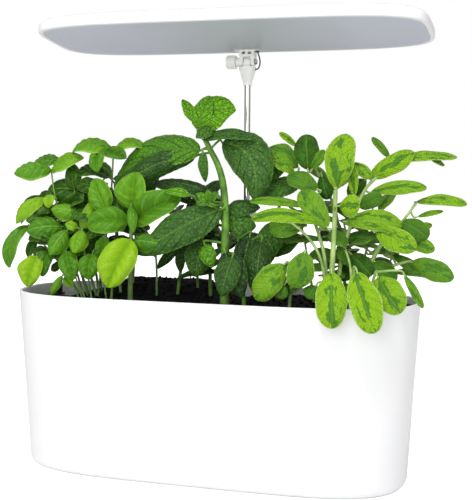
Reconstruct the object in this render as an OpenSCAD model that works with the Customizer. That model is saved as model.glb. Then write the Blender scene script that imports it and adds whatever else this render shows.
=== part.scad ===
// Self-watering countertop herb garden with a grow lamp on a telescopic pole.
// Origin: centre of the tub's underside. X runs along the tub, -Y is the front, Z is up.
// The lamp stands at its working height, with its front edge tilted up.

/* [Tub] */
// Length of the tub at its rim
tub_l = 400; // [360:1:460]
// Depth of the tub at its rim, front to back
tub_d = 156; // [148:1:190]
// Height of the tub
tub_h = 175; // [165:1:200]
// How far each end leans in from rim to floor
draft_x = 10; // [2:0.5:14]
// How far the front and back lean in from rim to floor
draft_y = 9; // [2:0.5:12]
// Wall thickness of the tub
tub_wall = 3; // [2:0.1:4]
// Floor thickness of the tub
tub_floor = 3; // [2:0.1:5]
// Radius of the rounded foot
foot_r = 8; // [4:0.5:14]

/* [Planting basin] */
// Gap between basin and tub
basin_gap = 1; // [0.5:0.1:2]
// Wall thickness of the basin
basin_wall = 1.6; // [1.2:0.1:2.4]
// How far the basin's rim sits below the tub's rim
basin_drop = 7; // [5:0.5:12]
// Height of the reservoir under the basin
reservoir_h = 42; // [30:1:60]
// Length of the filling gap at the left end
fill_gap = 48; // [42:1:60]
// Outside diameter of a wick cup
cup_d = 34; // [26:1:44]
// Distance between wick cups
cup_pitch = 118; // [90:1:125]
// Diameter of a wick
wick_d = 14; // [8:1:20]
// How far the potting mix sits below the basin's rim
soil_drop = 1; // [0:0.5:6]

/* [Level guide] */
// Outside diameter of the guide tube
guide_d = 11.5; // [10:0.5:15]
// How far the guide tube stands above its arm
guide_up = 10; // [6:1:16]
// Width of the arm that carries the guide tube
arm_w = 22; // [18:1:30]
// Diameter of the float
float_d = 26; // [20:1:30]
// Height of the float
float_h = 14; // [8:1:18]
// Diameter of the float's stem
stem_d = 4; // [3:0.5:5]

/* [Pole] */
// Pole position along the tub, from the middle
pole_x = 16; // [0:1:30]
// How far the pole stands in from the back of the rim
pole_in = 22; // [22:0.5:28]
// Outside diameter of the lower post
post_d = 12; // [11:0.5:13]
// Wall thickness of the lower post
post_wall = 1; // [0.8:0.1:1.5]
// Height of the top of the lower post
post_top = 250; // [235:1:265]
// Wall thickness of the pole socket
socket_wall = 1.6; // [1.4:0.1:2]
// How far the pole socket stands above the tub's rim
socket_up = 22; // [20:1:30]
// Diameter of the steel rod
rod_d = 6; // [5:0.5:7]
// Wall thickness of the steel rod
rod_wall = 0.8; // [0.6:0.1:1.2]
// Height of the rod's lower end
rod_foot_z = 100; // [92:1:120]
// Outside diameter of the screw collar
collar_d = 20; // [18:0.5:22]
// Height of the screw collar
collar_h = 16; // [14:1:22]

/* [Tilt joint] */
// Height of the tilt axis
hinge_z = 403.5; // [395:0.5:425]
// Width of the tongue on the pole head
tongue_w = 7; // [5:0.5:9]
// Radius of the tongue's rounded end
tongue_r = 3.5; // [3.2:0.1:4.2]
// Large diameter of the conical pole head
head_d = 17.4; // [15:0.2:20]
// Small diameter of the conical pole head
head_tip_d = 8.6; // [8.2:0.2:10]
// Height of the cone
cone_h = 17; // [12:0.5:22]
// Thickness of one bracket leg
lug_t = 3.6; // [2.5:0.1:5]
// Thickness of one friction washer
washer_t = 0.5; // [0.3:0.1:1]
// Diameter of the hinge bolt
bolt_d = 3; // [2.5:0.5:3.5]
// Diameter of the knob
knob_d = 13.6; // [11:0.2:16]
// Length of the knob
knob_l = 9.6; // [7:0.2:12]

/* [Lamp] */
// Length of the lamp
lamp_l = 380; // [330:1:420]
// Depth of the lamp, front to back
lamp_d = 124; // [110:1:150]
// Thickness of the lamp
lamp_h = 15; // [14:0.5:20]
// How far the lamp reaches behind the tilt axis
lamp_back = 6; // [5:0.5:8]
// Angle by which the lamp's front edge is raised
lamp_tilt = 8; // [0:0.5:15]
// Distance from the tilt axis up to the lamp's underside
lamp_rise = 10.5; // [10:0.5:14]
// Wall thickness of the lamp shell
shell_wall = 2.4; // [1.6:0.1:3]
// Width of the rim around the diffuser
lip_w = 4; // [3.4:0.2:6]
// Thickness of the diffuser
diffuser_t = 2; // [1.5:0.1:3]
// Diameter of the power button
button_d = 11; // [8:0.5:14]
// Travel of the power button
button_travel = 1.2; // [0.6:0.1:1.6]
// Number of light chips in a row
led_cols = 14; // [8:1:16]
// Number of rows of light chips
led_rows = 4; // [2:1:5]

/* [Herbs] */
// Length of a basil leaf
basil_leaf = 44; // [34:1:50]
// Length of a mint leaf
mint_leaf = 50; // [40:1:60]
// Length of a sage leaf
sage_leaf = 52; // [40:1:58]
// Thickness of the leaves
leaf_t = 1.2; // [1:0.1:2]

/* [Hidden] */
run = 0.05;                // radial clearance of a running fit
gap = 0.3;                 // clearance between pieces that never touch
side_n = 96;               // points round the tub and the lamp
tub_nx = 4.4;              // exponents of the tub's rounded outline
tub_ny = 2.4;
lamp_nx = 4.8;             // exponents of the lamp's rounded outline
lamp_ny = 4.4;

rim_r = 1.2;
inner_foot_r = foot_r - tub_wall;
basin_top = tub_h - basin_drop;
basin_z = tub_floor + reservoir_h;
basin_floor_z = basin_z + basin_wall;
basin_left = -tub_l / 2 + tub_wall + fill_gap;
soil_top = basin_top - soil_drop;
cup_n = 3;
cup_mid_x = 30;            // middle of the row of cups
cup_floor_z = tub_floor + basin_wall;
cup_slot_w = 5;            // water slots in the cup walls
wick_bury = 12;            // how far a wick reaches up into the mix

guide_x = basin_left - fill_gap * 0.42;
arm_t = 2;
guide_bore = 8;
guide_bush_h = 4;
guide_flange_d = guide_d + 5;
guide_flange_t = 1.5;
float_z = tub_floor + 2;
float_seat = 2;            // wall under the stem in the float
float_travel = 40;
guide_end_z = float_z + float_h + float_travel + 2;
guide_top_z = basin_top + guide_up;

pole_y = tub_d / 2 - pole_in;
socket_floor = 3;
post_foot_z = basin_floor_z + socket_floor;
socket_top = tub_h + socket_up;
socket_d = post_d + 2 * run + 2 * socket_wall;
socket_foot_l = 34;        // foot of the pole socket, screwed to the basin's floor
socket_foot_w = 22;
socket_foot_t = 3;
screw_d = 3;
screw_head_d = 5.6;
screw_head_t = 1.8;
inlet_block = 18;          // block on the socket that holds the DC inlet
inlet_z = socket_top - inlet_block / 2;
inlet_d = 8;
inlet_flange_d = 12;
inlet_flange_t = 1.2;
inlet_l = 8;
jack_d = 5.6;              // hole that takes the plug's barrel
jack_pin_d = 2;

collet_seat = 10;          // length of the collet inside the post
collet_rim = 2;
collet_nose = 4;
collar_skirt = 6;          // how far the collar reaches down over the post
collar_ribs = 16;
rib_cut_d = 2;
rod_top_z = hinge_z - tongue_r - 4;
guide_ring_h = 14;
pole_lead_d = 2.4;

cone_z = hinge_z - tongue_r - 3 - cone_h;
cap_top_z = hinge_z - tongue_r - 1.6;
lug_r = tongue_r + 0.7;
lug_in = tongue_w / 2 + washer_t;
bracket_half = lug_in + lug_t;
bracket_l = 12;            // bracket, front to back
bar_z = lug_r + 0.4;       // crossbar of the bracket, above the axis
bar_t = 2;
plate_t = 1.2;
rib_t = 2.4;
small_screw_d = 2;
small_head_d = 3.6;
small_head_t = 1.2;
bracket_screw_x = (bracket_half - rib_t / 2) / 2;   // midway between two ribs
bracket_screw_l = 6;       // length of a bracket screw in the shell's pad
boss_l = 4;
boss_d = 9;
bolt_head_d = 5.6;
bolt_head_t = 2;
knob_right = -bracket_half - boss_l - gap;
knob_left = knob_right - knob_l;
knob_ribs = 14;
insert_d = bolt_d + 2.6;
insert_l = knob_l - 3;

lamp_top = lamp_rise + lamp_h;
cavity_top = lamp_top - shell_wall;
ledge_w = 2.4;             // ledge that the diffuser seats on
crown_w = 20;              // the shell's top edge curves in by this much
crown_h = 9;
lamp_mid_y = lamp_back - lamp_d / 2;
pad_front = -9;            // solid pad in the shell over the bracket
pad_half = bracket_half + 6;
pad_h = 8;
board_t = 1.6;
board_lift = 3.8;          // gap between LED board and ceiling
board_z = cavity_top - board_lift - board_t;
board_in_x = 26;           // LED board, in from the lamp's ends and its long sides
board_in_y = 25;
board_l = lamp_l - 2 * board_in_x;
board_d = lamp_d - 2 * board_in_y;
board_y = lamp_mid_y - 6;
boss_in = 8;               // board screws, in from the board's edges
boss_screw_d = 6;
chip = 2.8;
chip_t = 0.8;
chip_in_x = 15;            // outer chips, in from the board's ends and its long sides
chip_in_y = 12;
driver_x = 110;
driver_l = 56;
driver_d = 26;
driver_t = 1.2;
part_h = 1.8;
button_x = board_l / 2 - boss_in - button_d - boss_screw_d;   // clear of the end screws
button_y = lamp_mid_y + 28;
button_proud = button_travel + 0.4;   // pressed home, the cap still stands proud
button_flange = 1;
button_flange_d = button_d + 3;
lead_d = 1.4;
lead_x = 9.8;              // where the lead enters the lamp, right of the tilt axis

basil_x = basin_left + 31;   // the herbs' crowns along the tub
mint_x = 14;
sage_x = tub_l / 2 - 78;
plot_1 = basil_x + 62;     // the herbs' plots meet here
plot_2 = sage_x - 78;
pole_clear = 3;            // room between the herbs and the screw collar
eye = [324, -978, 299];    // basil and sage are drawn as they show from here
eye_turn = 17.17;          // line of sight, turned to the left and tilted down
eye_tilt = 4.53;
sheet_away = 1023;         // sheet they are drawn on, square to the line of sight
sheet_scale = 0.948;
sheet_x = 6;               // where the line of sight meets the sheet
sheet_z = 209;
drawn_soil = 167;          // sizes and places of the herbs as drawn
drawn_basil_x = -118;
drawn_basil_leaf = 44;
drawn_sage_x = 122;
drawn_sage_leaf = 52;
drawn_tub_d = 156;
stem_steps = 8;            // places along each length of stem where a stalk can start
stalk_up = 6;              // how far a stalk may start above its leaf
behind_leaf = 0.82;        // size of the leaves behind, as a share of the others
stem_foot = 2;             // how deep the stems start before they are cut at the mix
stem_r = 1.5;
stalk_l = 6;
stalk_r = 0.8;
stalk_in = 2;              // how far a stalk runs on into its leaf
leaf_pairs = 3;
top_leaf = 0.8;            // size of the top leaves, as a share of the others
top_rise = 45;             // how steeply the top leaves stand, in degrees
rise_step = 22;            // how much flatter each lower pair lies
pair_step = 0.22;          // leaf pairs, as a share of the stem's length
leaf_n = 5;                // points along one edge of a leaf
basil_round = 0.62;        // widths of the leaves, as shares of their lengths
mint_round = 0.58;
sage_round = 0.42;

// Points of a rounded outline with half-lengths a and b, at height z
function ring(a, b, nx, ny, z) = [for (i = [0 : side_n - 1])
    let (t = 360 * i / side_n, c = cos(t), s = sin(t))
    [a * sign(c) * pow(abs(c), 2 / nx), b * sign(s) * pow(abs(s), 2 / ny), z]];

// Tub outline at height z, moved in by the amount inset
function tub_ring(z, inset) = ring(
    tub_l / 2 - draft_x * (1 - z / tub_h) - inset,
    tub_d / 2 - draft_y * (1 - z / tub_h) - inset, tub_nx, tub_ny, z);

// Lamp outline at height z, moved in by the amount inset
function lamp_ring(z, inset) = ring(lamp_l / 2 - inset, lamp_d / 2 - inset, lamp_nx, lamp_ny, z);

// Half-depth of the tub's inner face at height z
function inner_y(z) = tub_d / 2 - draft_y * (1 - z / tub_h) - tub_wall;

// Solid skinned over a list of rings, closed by its first and last ring
module loft(rings) {
    n = len(rings[0]);
    m = len(rings);
    sides = [for (k = [0 : m - 2], i = [0 : n - 1], tri = [0, 1])
        let (a = k * n + i, b = k * n + (i + 1) % n)
        tri == 0 ? [a, a + n, b + n] : [a, b + n, b]];
    bottom = [for (i = [0 : n - 1]) i];
    top = [for (i = [n - 1 : -1 : 0]) (m - 1) * n + i];
    polyhedron(points = [for (r = rings) each r], faces = concat([bottom], sides, [top]));
}

// Round tube swept through a list of points
module wire(points, d) {
    n = 8;
    last = len(points) - 1;
    rings = [for (i = [0 : last])
        let (
            ahead = points[min(i + 1, last)],
            behind = points[max(i - 1, 0)],
            t = (ahead - behind) / norm(ahead - behind),
            side = cross([0, 1, 0], t) / norm(cross([0, 1, 0], t)),
            up = cross(t, side))
        [for (k = [0 : n - 1])
            points[i] + (side * cos(360 * k / n) + up * sin(360 * k / n)) * d / 2]];
    loft(rings);
}

// Everything on the lamp is drawn from the tilt axis, then tilted and lifted into place
module on_lamp() {
    translate([pole_x, pole_y, hinge_z])
    rotate([-lamp_tilt, 0, 0])
    children();
}

// Moves its children to the pole
module on_pole(z = 0) {
    translate([pole_x, pole_y, z])
    children();
}

// Places its children at each wick cup
module at_cups() {
    for (i = [0 : cup_n - 1])
        translate([cup_mid_x + (i - (cup_n - 1) / 2) * cup_pitch, 0, 0])
        children();
}

module outer_tub() {
    foot = [for (t = [0 : 22.5 : 90])
        tub_ring(foot_r * (1 - cos(t)), foot_r * (1 - sin(t)))];
    rim = [tub_ring(tub_h - rim_r, 0), tub_ring(tub_h - rim_r * 0.3, rim_r * 0.3),
        tub_ring(tub_h, rim_r), tub_ring(tub_h, tub_wall - rim_r * 0.6),
        tub_ring(tub_h - rim_r * 0.6, tub_wall)];
    inner_foot = [for (t = [90 : -30 : 0])
        tub_ring(tub_floor + inner_foot_r * (1 - cos(t)), tub_wall + inner_foot_r * (1 - sin(t)))];
    color("white")
    loft(concat(foot, rim, inner_foot));
}

// Basin shell moved in by the amount inset, from height z0 to height z1
module basin_block(inset, z0, z1) {
    intersection() {
        loft([for (z = [z0, z1]) tub_ring(z, tub_wall + basin_gap + inset)]);
        translate([basin_left + inset, -tub_d, z0 - 1])
        cube([tub_l, 2 * tub_d, z1 - z0 + 2]);
    }
}

module planting_basin() {
    color([0.06, 0.06, 0.07])
    difference() {
        union() {
            basin_block(0, basin_z, basin_top);
            at_cups()
            translate([0, 0, tub_floor])
            cylinder(h = reservoir_h + basin_wall, d = cup_d, $fn = 48);
            guide_arm();
        }
        basin_block(basin_wall, basin_floor_z, basin_top + 1);
        at_cups()
        translate([0, 0, cup_floor_z])
        cylinder(h = reservoir_h + 1, d = cup_d - 2 * basin_wall, $fn = 48);
        at_cups()
        cup_slots();
        for (p = screw_spots())
            translate(p + [0, 0, basin_z - 1])
            cylinder(h = basin_wall + 2, d = screw_d + 2 * run, $fn = 24);
    }
}

// Slots that let water into a wick cup
module cup_slots() {
    for (a = [45 : 90 : 315])
        rotate(a)
        translate([cup_d / 4, -cup_slot_w / 2, cup_floor_z])
        cube([cup_d / 2, cup_slot_w, reservoir_h * 0.6]);
}

// Flat arm that reaches over the filling gap and holds the level guide
module guide_arm() {
    arm_end = guide_x - guide_flange_d / 2 - 4;
    difference() {
        translate([arm_end, -arm_w / 2, basin_top - arm_t])
        cube([basin_left + basin_wall / 2 - arm_end, arm_w, arm_t]);
        translate([guide_x, 0, basin_top - arm_t - 1])
        cylinder(h = arm_t + 2, d = guide_d + 2 * gap, $fn = 48);
    }
}

module wicks() {
    color([0.85, 0.83, 0.76])
    at_cups()
    translate([0, 0, cup_floor_z])
    cylinder(h = basin_floor_z + wick_bury - cup_floor_z, d = wick_d, $fn = 32);
}

module potting_mix() {
    foot_room = socket_foot_t + screw_head_t + gap;
    color([0.08, 0.06, 0.05])
    difference() {
        union() {
            basin_block(basin_wall + gap, basin_floor_z, soil_top);
            at_cups()
            translate([0, 0, cup_floor_z])
            cylinder(h = reservoir_h, d = cup_d - 2 * basin_wall - 2 * gap, $fn = 48);
        }
        on_pole(basin_floor_z - 1)
        cylinder(h = tub_h, d = socket_d + 2 * gap, $fn = 48);
        translate([pole_x - socket_foot_l / 2 - gap, foot_front() - gap, basin_floor_z - 1])
        cube([socket_foot_l + 2 * gap, tub_d, foot_room + 1]);
        at_cups()
        translate([0, 0, cup_floor_z - 1])
        cylinder(h = basin_floor_z + wick_bury - cup_floor_z + 1, d = wick_d + 2 * gap, $fn = 32);
    }
}

module level_guide() {
    bore_r = stem_d / 2 + run;
    color([0.07, 0.07, 0.08])
    translate([guide_x, 0, 0])
    rotate_extrude($fn = 48)
    polygon([
        [bore_r, guide_end_z],
        [guide_d / 2, guide_end_z],
        [guide_d / 2, basin_top],
        [guide_flange_d / 2, basin_top],
        [guide_flange_d / 2, basin_top + guide_flange_t],
        [guide_d / 2, basin_top + guide_flange_t],
        [guide_d / 2, guide_top_z],
        [bore_r, guide_top_z],
        [bore_r, guide_top_z - guide_bush_h],
        [guide_bore / 2, guide_top_z - guide_bush_h - 1],
        [guide_bore / 2, guide_end_z + guide_bush_h + 1],
        [bore_r, guide_end_z + guide_bush_h]]);
}

module level_float() {
    color("white")
    translate([guide_x, 0, float_z])
    difference() {
        cylinder(h = float_h, d = float_d, $fn = 48);
        translate([0, 0, float_seat])
        cylinder(h = float_h, d = stem_d, $fn = 32);
    }
}

module level_stem() {
    color([0.85, 0.2, 0.12])
    translate([guide_x, 0, float_z + float_seat])
    cylinder(h = guide_top_z - 1 - float_z - float_seat, d = stem_d, $fn = 32);
}

// Front edge of the socket's foot, and the places of its screws
function foot_front() = inner_y(basin_floor_z) - basin_gap - basin_wall - 1.5 - socket_foot_w;
function screw_spots() = [for (side = [-1, 1])
    [pole_x + side * (socket_foot_l / 2 - 4.5), foot_front() + 4.5, 0]];

module pole_socket() {
    color([0.9, 0.9, 0.9])
    difference() {
        union() {
            on_pole(basin_floor_z)
            cylinder(h = socket_top - basin_floor_z, d = socket_d, $fn = 64);
            translate([pole_x - socket_foot_l / 2, foot_front(), basin_floor_z])
            cube([socket_foot_l, socket_foot_w, socket_foot_t]);
            on_pole(socket_top - inlet_block)
            translate([-inlet_block / 2, 0, 0])
            cube([inlet_block, inlet_block, inlet_block]);
        }
        on_pole(post_foot_z)
        cylinder(h = tub_h, d = post_d + 2 * run, $fn = 64);
        on_pole(inlet_z)
        translate([0, inlet_block - inlet_l, 0])
        rotate([-90, 0, 0])
        cylinder(h = inlet_l + 1, d = inlet_d, $fn = 48);
        for (p = screw_spots())
            translate(p + [0, 0, basin_floor_z - 1])
            cylinder(h = socket_foot_t + 2, d = screw_d + 2 * run, $fn = 24);
    }
}

module socket_screws() {
    color([0.75, 0.76, 0.78])
    for (p = screw_spots())
        translate(p) {
            translate([0, 0, basin_z - 3])
            cylinder(h = basin_wall + socket_foot_t + 3, d = screw_d, $fn = 24);
            translate([0, 0, basin_floor_z + socket_foot_t])
            cylinder(h = screw_head_t, d = screw_head_d, $fn = 24);
        }
}

// Barrel jack in the back of the socket's block, above the tub's rim
module dc_inlet() {
    color([0.08, 0.08, 0.08])
    on_pole(inlet_z)
    translate([0, inlet_block - inlet_l, 0])
    rotate([-90, 0, 0]) {
        difference() {
            union() {
                cylinder(h = inlet_l, d = inlet_d, $fn = 48);
                translate([0, 0, inlet_l])
                cylinder(h = inlet_flange_t, d = inlet_flange_d, $fn = 48);
            }
            translate([0, 0, 1])
            cylinder(h = inlet_l + inlet_flange_t, d = jack_d, $fn = 32);
        }
        cylinder(h = inlet_l - 1, d = jack_pin_d, $fn = 24);
    }
}

module lower_post() {
    color([0.93, 0.93, 0.92])
    on_pole(post_foot_z + 0.1)
    difference() {
        cylinder(h = post_top - post_foot_z - 0.1, d = post_d, $fn = 64);
        translate([0, 0, -1])
        cylinder(h = post_top, d = post_d - 2 * post_wall, $fn = 64);
    }
}

// Plastic sleeve in the top of the post; the collar squeezes its nose onto the rod
module collet() {
    bore_r = rod_d / 2 + run;
    color([0.8, 0.8, 0.78])
    on_pole()
    rotate_extrude($fn = 64)
    polygon([
        [bore_r, post_top - collet_seat],
        [post_d / 2 - post_wall, post_top - collet_seat],
        [post_d / 2 - post_wall, post_top],
        [post_d / 2, post_top],
        [post_d / 2, post_top + collet_rim],
        [post_d / 2 - 1, post_top + collet_rim],
        [rod_d / 2 + 1, post_top + collet_rim + collet_nose],
        [bore_r, post_top + collet_rim + collet_nose]]);
}

module screw_collar() {
    bottom = post_top - collar_skirt;
    inner_r = post_d / 2 + run;
    seat = post_top + collet_rim + gap;
    nose = seat + collet_nose;
    color([0.94, 0.94, 0.93])
    on_pole()
    difference() {
        rotate_extrude($fn = 64)
        polygon([
            [inner_r, bottom],
            [collar_d / 2 - 1, bottom],
            [collar_d / 2, bottom + 1],
            [collar_d / 2, bottom + collar_h - 3],
            [collar_d / 2 - 3, bottom + collar_h],
            [rod_d / 2 + gap, bottom + collar_h],
            [rod_d / 2 + gap, nose],
            [rod_d / 2 + 1 + gap, nose],
            [inner_r, seat]]);
        for (i = [0 : collar_ribs - 1])
            rotate(360 * i / collar_ribs)
            translate([collar_d / 2 + rib_cut_d * 0.2, 0, bottom + 2])
            cylinder(h = collar_h - 6, d = rib_cut_d, $fn = 24);
    }
}

module steel_rod() {
    color([0.8, 0.81, 0.83])
    on_pole(rod_foot_z)
    difference() {
        cylinder(h = rod_top_z - rod_foot_z, d = rod_d, $fn = 64);
        translate([0, 0, -1])
        cylinder(h = hinge_z, d = rod_d - 2 * rod_wall, $fn = 64);
    }
}

// Ring on the rod's foot that keeps it centred in the post
module rod_guide() {
    color([0.3, 0.3, 0.32])
    on_pole(rod_foot_z)
    difference() {
        cylinder(h = guide_ring_h, d = post_d - 2 * post_wall - 2 * run, $fn = 64);
        translate([0, 0, -1])
        cylinder(h = guide_ring_h + 2, d = rod_d, $fn = 64);
    }
}

// Lead inside the rod; it ends against the solid crown of the pole head
module pole_lead() {
    color([0.05, 0.05, 0.05])
    on_pole(rod_foot_z)
    cylinder(h = rod_top_z - rod_foot_z, d = pole_lead_d, $fn = 32);
}

module pole_head() {
    color([0.95, 0.95, 0.94])
    difference() {
        union() {
            on_pole()
            rotate_extrude($fn = 64)
            polygon([
                [0, cone_z],
                [head_tip_d / 2, cone_z],
                [head_tip_d / 2, cone_z + 2],
                [head_d / 2, cone_z + cone_h],
                [head_d / 2, cap_top_z],
                [0, cap_top_z]]);
            on_pole(hinge_z) {
                translate([-tongue_w / 2, 0, 0])
                rotate([0, 90, 0])
                cylinder(h = tongue_w, r = tongue_r, $fn = 64);
                translate([-tongue_w / 2, -tongue_r, cap_top_z - hinge_z - 1])
                cube([tongue_w, 2 * tongue_r, hinge_z - cap_top_z + 1]);
            }
        }
        on_pole(cone_z - 1)
        cylinder(h = rod_top_z - cone_z + 1, d = rod_d, $fn = 64);
        on_pole(hinge_z)
        rotate([0, 90, 0])
        cylinder(h = 2 * tongue_w, d = bolt_d + 2 * run, center = true, $fn = 48);
        on_pole(lead_z())
        rotate([0, 90, 0])
        cylinder(h = head_d, d = lead_d + 2 * gap, $fn = 24);
    }
}

// Height of the small hole where the lead leaves the pole head
function lead_z() = cone_z + cone_h - 1.4;

module friction_washers() {
    color([0.25, 0.25, 0.27])
    on_lamp()
    for (x = [-lug_in, tongue_w / 2])
        translate([x, 0, 0])
        rotate([0, 90, 0])
        difference() {
            cylinder(h = washer_t, r = tongue_r, $fn = 48);
            translate([0, 0, -1])
            cylinder(h = washer_t + 2, d = bolt_d + 2 * run, $fn = 48);
        }
}

module hinge_bolt() {
    color([0.75, 0.76, 0.78])
    on_lamp() {
        translate([knob_left + 1.5, 0, 0])
        rotate([0, 90, 0])
        cylinder(h = bracket_half - knob_left - 1.5, d = bolt_d, $fn = 48);
        translate([bracket_half, 0, 0])
        rotate([0, 90, 0])
        cylinder(h = bolt_head_t, d = bolt_head_d, $fn = 6);
    }
}

module tilt_knob() {
    color([0.94, 0.94, 0.93])
    on_lamp()
    translate([knob_left, 0, 0])
    rotate([0, 90, 0])
    difference() {
        rotate_extrude($fn = 64)
        polygon([
            [0, 0],
            [knob_d / 2 - 1, 0],
            [knob_d / 2, 1],
            [knob_d / 2, knob_l - 0.8],
            [knob_d / 2 - 0.8, knob_l],
            [0, knob_l]]);
        translate([0, 0, 1.5])
        cylinder(h = knob_l, d = bolt_d + 2 * run, $fn = 48);
        translate([0, 0, knob_l - insert_l])
        cylinder(h = insert_l + 1, d = insert_d, $fn = 48);
        for (i = [0 : knob_ribs - 1])
            rotate(360 * i / knob_ribs)
            translate([knob_d / 2 + rib_cut_d * 0.2, 0, 1.5])
            cylinder(h = knob_l, d = rib_cut_d, $fn = 24);
    }
}

module knob_insert() {
    color([0.78, 0.66, 0.36])
    on_lamp()
    translate([knob_right - insert_l, 0, 0])
    rotate([0, 90, 0])
    difference() {
        cylinder(h = insert_l, d = insert_d, $fn = 48);
        translate([0, 0, -1])
        cylinder(h = insert_l + 2, d = bolt_d + 2 * run, $fn = 48);
    }
}

// Two-legged bracket under the lamp: plate, three ribs, crossbar and legs
module lamp_bracket() {
    color([0.93, 0.93, 0.92])
    on_lamp()
    difference() {
        union() {
            translate([-bracket_half, -bracket_l / 2, lamp_rise - plate_t])
            cube([2 * bracket_half, bracket_l, plate_t]);
            translate([-bracket_half, -bracket_l / 2, bar_z])
            cube([2 * bracket_half, bracket_l, bar_t]);
            for (x = [-bracket_half, -rib_t / 2, bracket_half - rib_t])
                translate([x, -bracket_l / 2, bar_z])
                cube([rib_t, bracket_l, lamp_rise - bar_z]);
            for (x = [-bracket_half, lug_in])
                translate([x, 0, 0]) {
                    rotate([0, 90, 0])
                    cylinder(h = lug_t, r = lug_r, $fn = 64);
                    translate([0, -lug_r, 0])
                    cube([lug_t, 2 * lug_r, bar_z + 0.5]);
                }
            translate([-bracket_half - boss_l, 0, 0])
            rotate([0, 90, 0])
            cylinder(h = boss_l + 0.5, d = boss_d, $fn = 48);
        }
        rotate([0, 90, 0])
        cylinder(h = 6 * bracket_half, d = bolt_d + 2 * run, center = true, $fn = 48);
        for (x = [-bracket_screw_x, bracket_screw_x])
            translate([x, 0, lamp_rise - plate_t - 0.5])
            cylinder(h = plate_t + 1, d = small_screw_d + 2 * run, $fn = 24);
    }
}

module bracket_screws() {
    color([0.75, 0.76, 0.78])
    on_lamp()
    for (x = [-bracket_screw_x, bracket_screw_x])
        translate([x, 0, lamp_rise - plate_t]) {
            cylinder(h = plate_t + bracket_screw_l, d = small_screw_d, $fn = 24);
            translate([0, 0, -small_head_t])
            cylinder(h = small_head_t, d = small_head_d, $fn = 24);
        }
}

// Position in the model of a point given from the tilt axis
function lamp_point(x, y, z) = [
    pole_x + x,
    pole_y + y * cos(lamp_tilt) + z * sin(lamp_tilt),
    hinge_z - y * sin(lamp_tilt) + z * cos(lamp_tilt)];

// Short loose lead from the pole head to the lamp, across the tilt joint
module lamp_lead() {
    low = [pole_x + head_d / 2, pole_y, lead_z()];
    top = lamp_point(lead_x, 0, lamp_rise);
    color([0.06, 0.06, 0.06])
    wire([
        low - [4, 0, 0],
        low,
        low + [1.6, 0, 0.5],
        low + [3.2, 0, 2.2],
        low + [4.1, 0, 5],
        low + [4.2, 0.3, 8],
        low + [3.6, 0.7, 11],
        [top[0] + 1.4, top[1] - 0.5, top[2] - 3.6],
        [top[0] + 0.3, top[1] - 0.2, top[2] - 1.6],
        top,
        lamp_point(lead_x, 0, lamp_rise + pad_h)], lead_d);
}

module lead_grommet() {
    color([0.1, 0.1, 0.1])
    on_lamp()
    translate([lead_x, 0, 0])
    difference() {
        union() {
            translate([0, 0, lamp_rise - 0.8])
            cylinder(h = 0.8, d = lead_d + 3, $fn = 32);
            translate([0, 0, lamp_rise])
            cylinder(h = 3, d = lead_d + 1.6, $fn = 32);
        }
        translate([0, 0, lamp_rise - 2])
        cylinder(h = 8, d = lead_d + 0.1, $fn = 32);
    }
}

// Block with square corners between two opposite corners
module block(low, high) {
    translate(low)
    cube(high - low);
}

// Spots of the board's six screws
function board_spots() = [for (i = [-1, 0, 1], j = [-1, 1])
    [i * (board_l / 2 - boss_in), board_y + j * (board_d / 2 - boss_in), 0]];

module lamp_shell() {
    ceiling = [lamp_ring(cavity_top, lip_w + ledge_w + 8), lamp_ring(cavity_top - 4, lip_w + ledge_w),
        lamp_ring(lamp_rise + diffuser_t, lip_w + ledge_w), lamp_ring(lamp_rise + diffuser_t, lip_w),
        lamp_ring(lamp_rise, lip_w), lamp_ring(lamp_rise, rim_r), lamp_ring(lamp_rise + rim_r, 0)];
    crown = [for (t = [0 : 15 : 90])
        lamp_ring(lamp_top - crown_h * (1 - sin(t)), crown_w * (1 - cos(t)))];
    color("white")
    on_lamp()
    difference() {
        union() {
            translate([0, lamp_mid_y, 0])
            loft(concat(ceiling, crown));
            block([-pad_half, pad_front, lamp_rise], [pad_half, lamp_back - 2 * rim_r, lamp_rise + pad_h]);
            for (p = board_spots())
                translate(p + [0, 0, board_z + board_t])
                cylinder(h = board_lift + 1, d = boss_screw_d, $fn = 24);
        }
        translate([button_x, button_y, cavity_top - 1])
        cylinder(h = shell_wall + 2, d = button_d + 2 * gap, $fn = 48);
        translate([lead_x, 0, lamp_rise - 1])
        cylinder(h = 4, d = lead_d + 1.6, $fn = 32);
        translate([lead_x, 0, lamp_rise - 1])
        cylinder(h = pad_h + 2, d = lead_d + 2 * gap, $fn = 24);
        for (x = [-bracket_screw_x, bracket_screw_x])
            translate([x, 0, lamp_rise - 1])
            cylinder(h = bracket_screw_l + 1.5, d = small_screw_d + 2 * run, $fn = 24);
        for (p = board_spots())
            translate(p + [0, 0, board_z])
            cylinder(h = board_lift + board_t, d = small_screw_d + 2 * run, $fn = 24);
    }
}

module diffuser() {
    color([0.86, 0.88, 0.9])
    on_lamp()
    difference() {
        translate([0, lamp_mid_y, lamp_rise])
        linear_extrude(diffuser_t)
        polygon([for (p = lamp_ring(0, lip_w + 0.1)) [p[0], p[1]]]);
        block([-pad_half - gap, pad_front - gap, 0], [pad_half + gap, lamp_d, lamp_top]);
    }
}

module led_board() {
    color([0.82, 0.83, 0.85])
    on_lamp()
    difference() {
        translate([-board_l / 2, board_y - board_d / 2, board_z])
        cube([board_l, board_d, board_t]);
        for (p = board_spots())
            translate(p + [0, 0, board_z - 1])
            cylinder(h = board_t + 2, d = small_screw_d + 2 * run, $fn = 24);
    }
}

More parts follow.
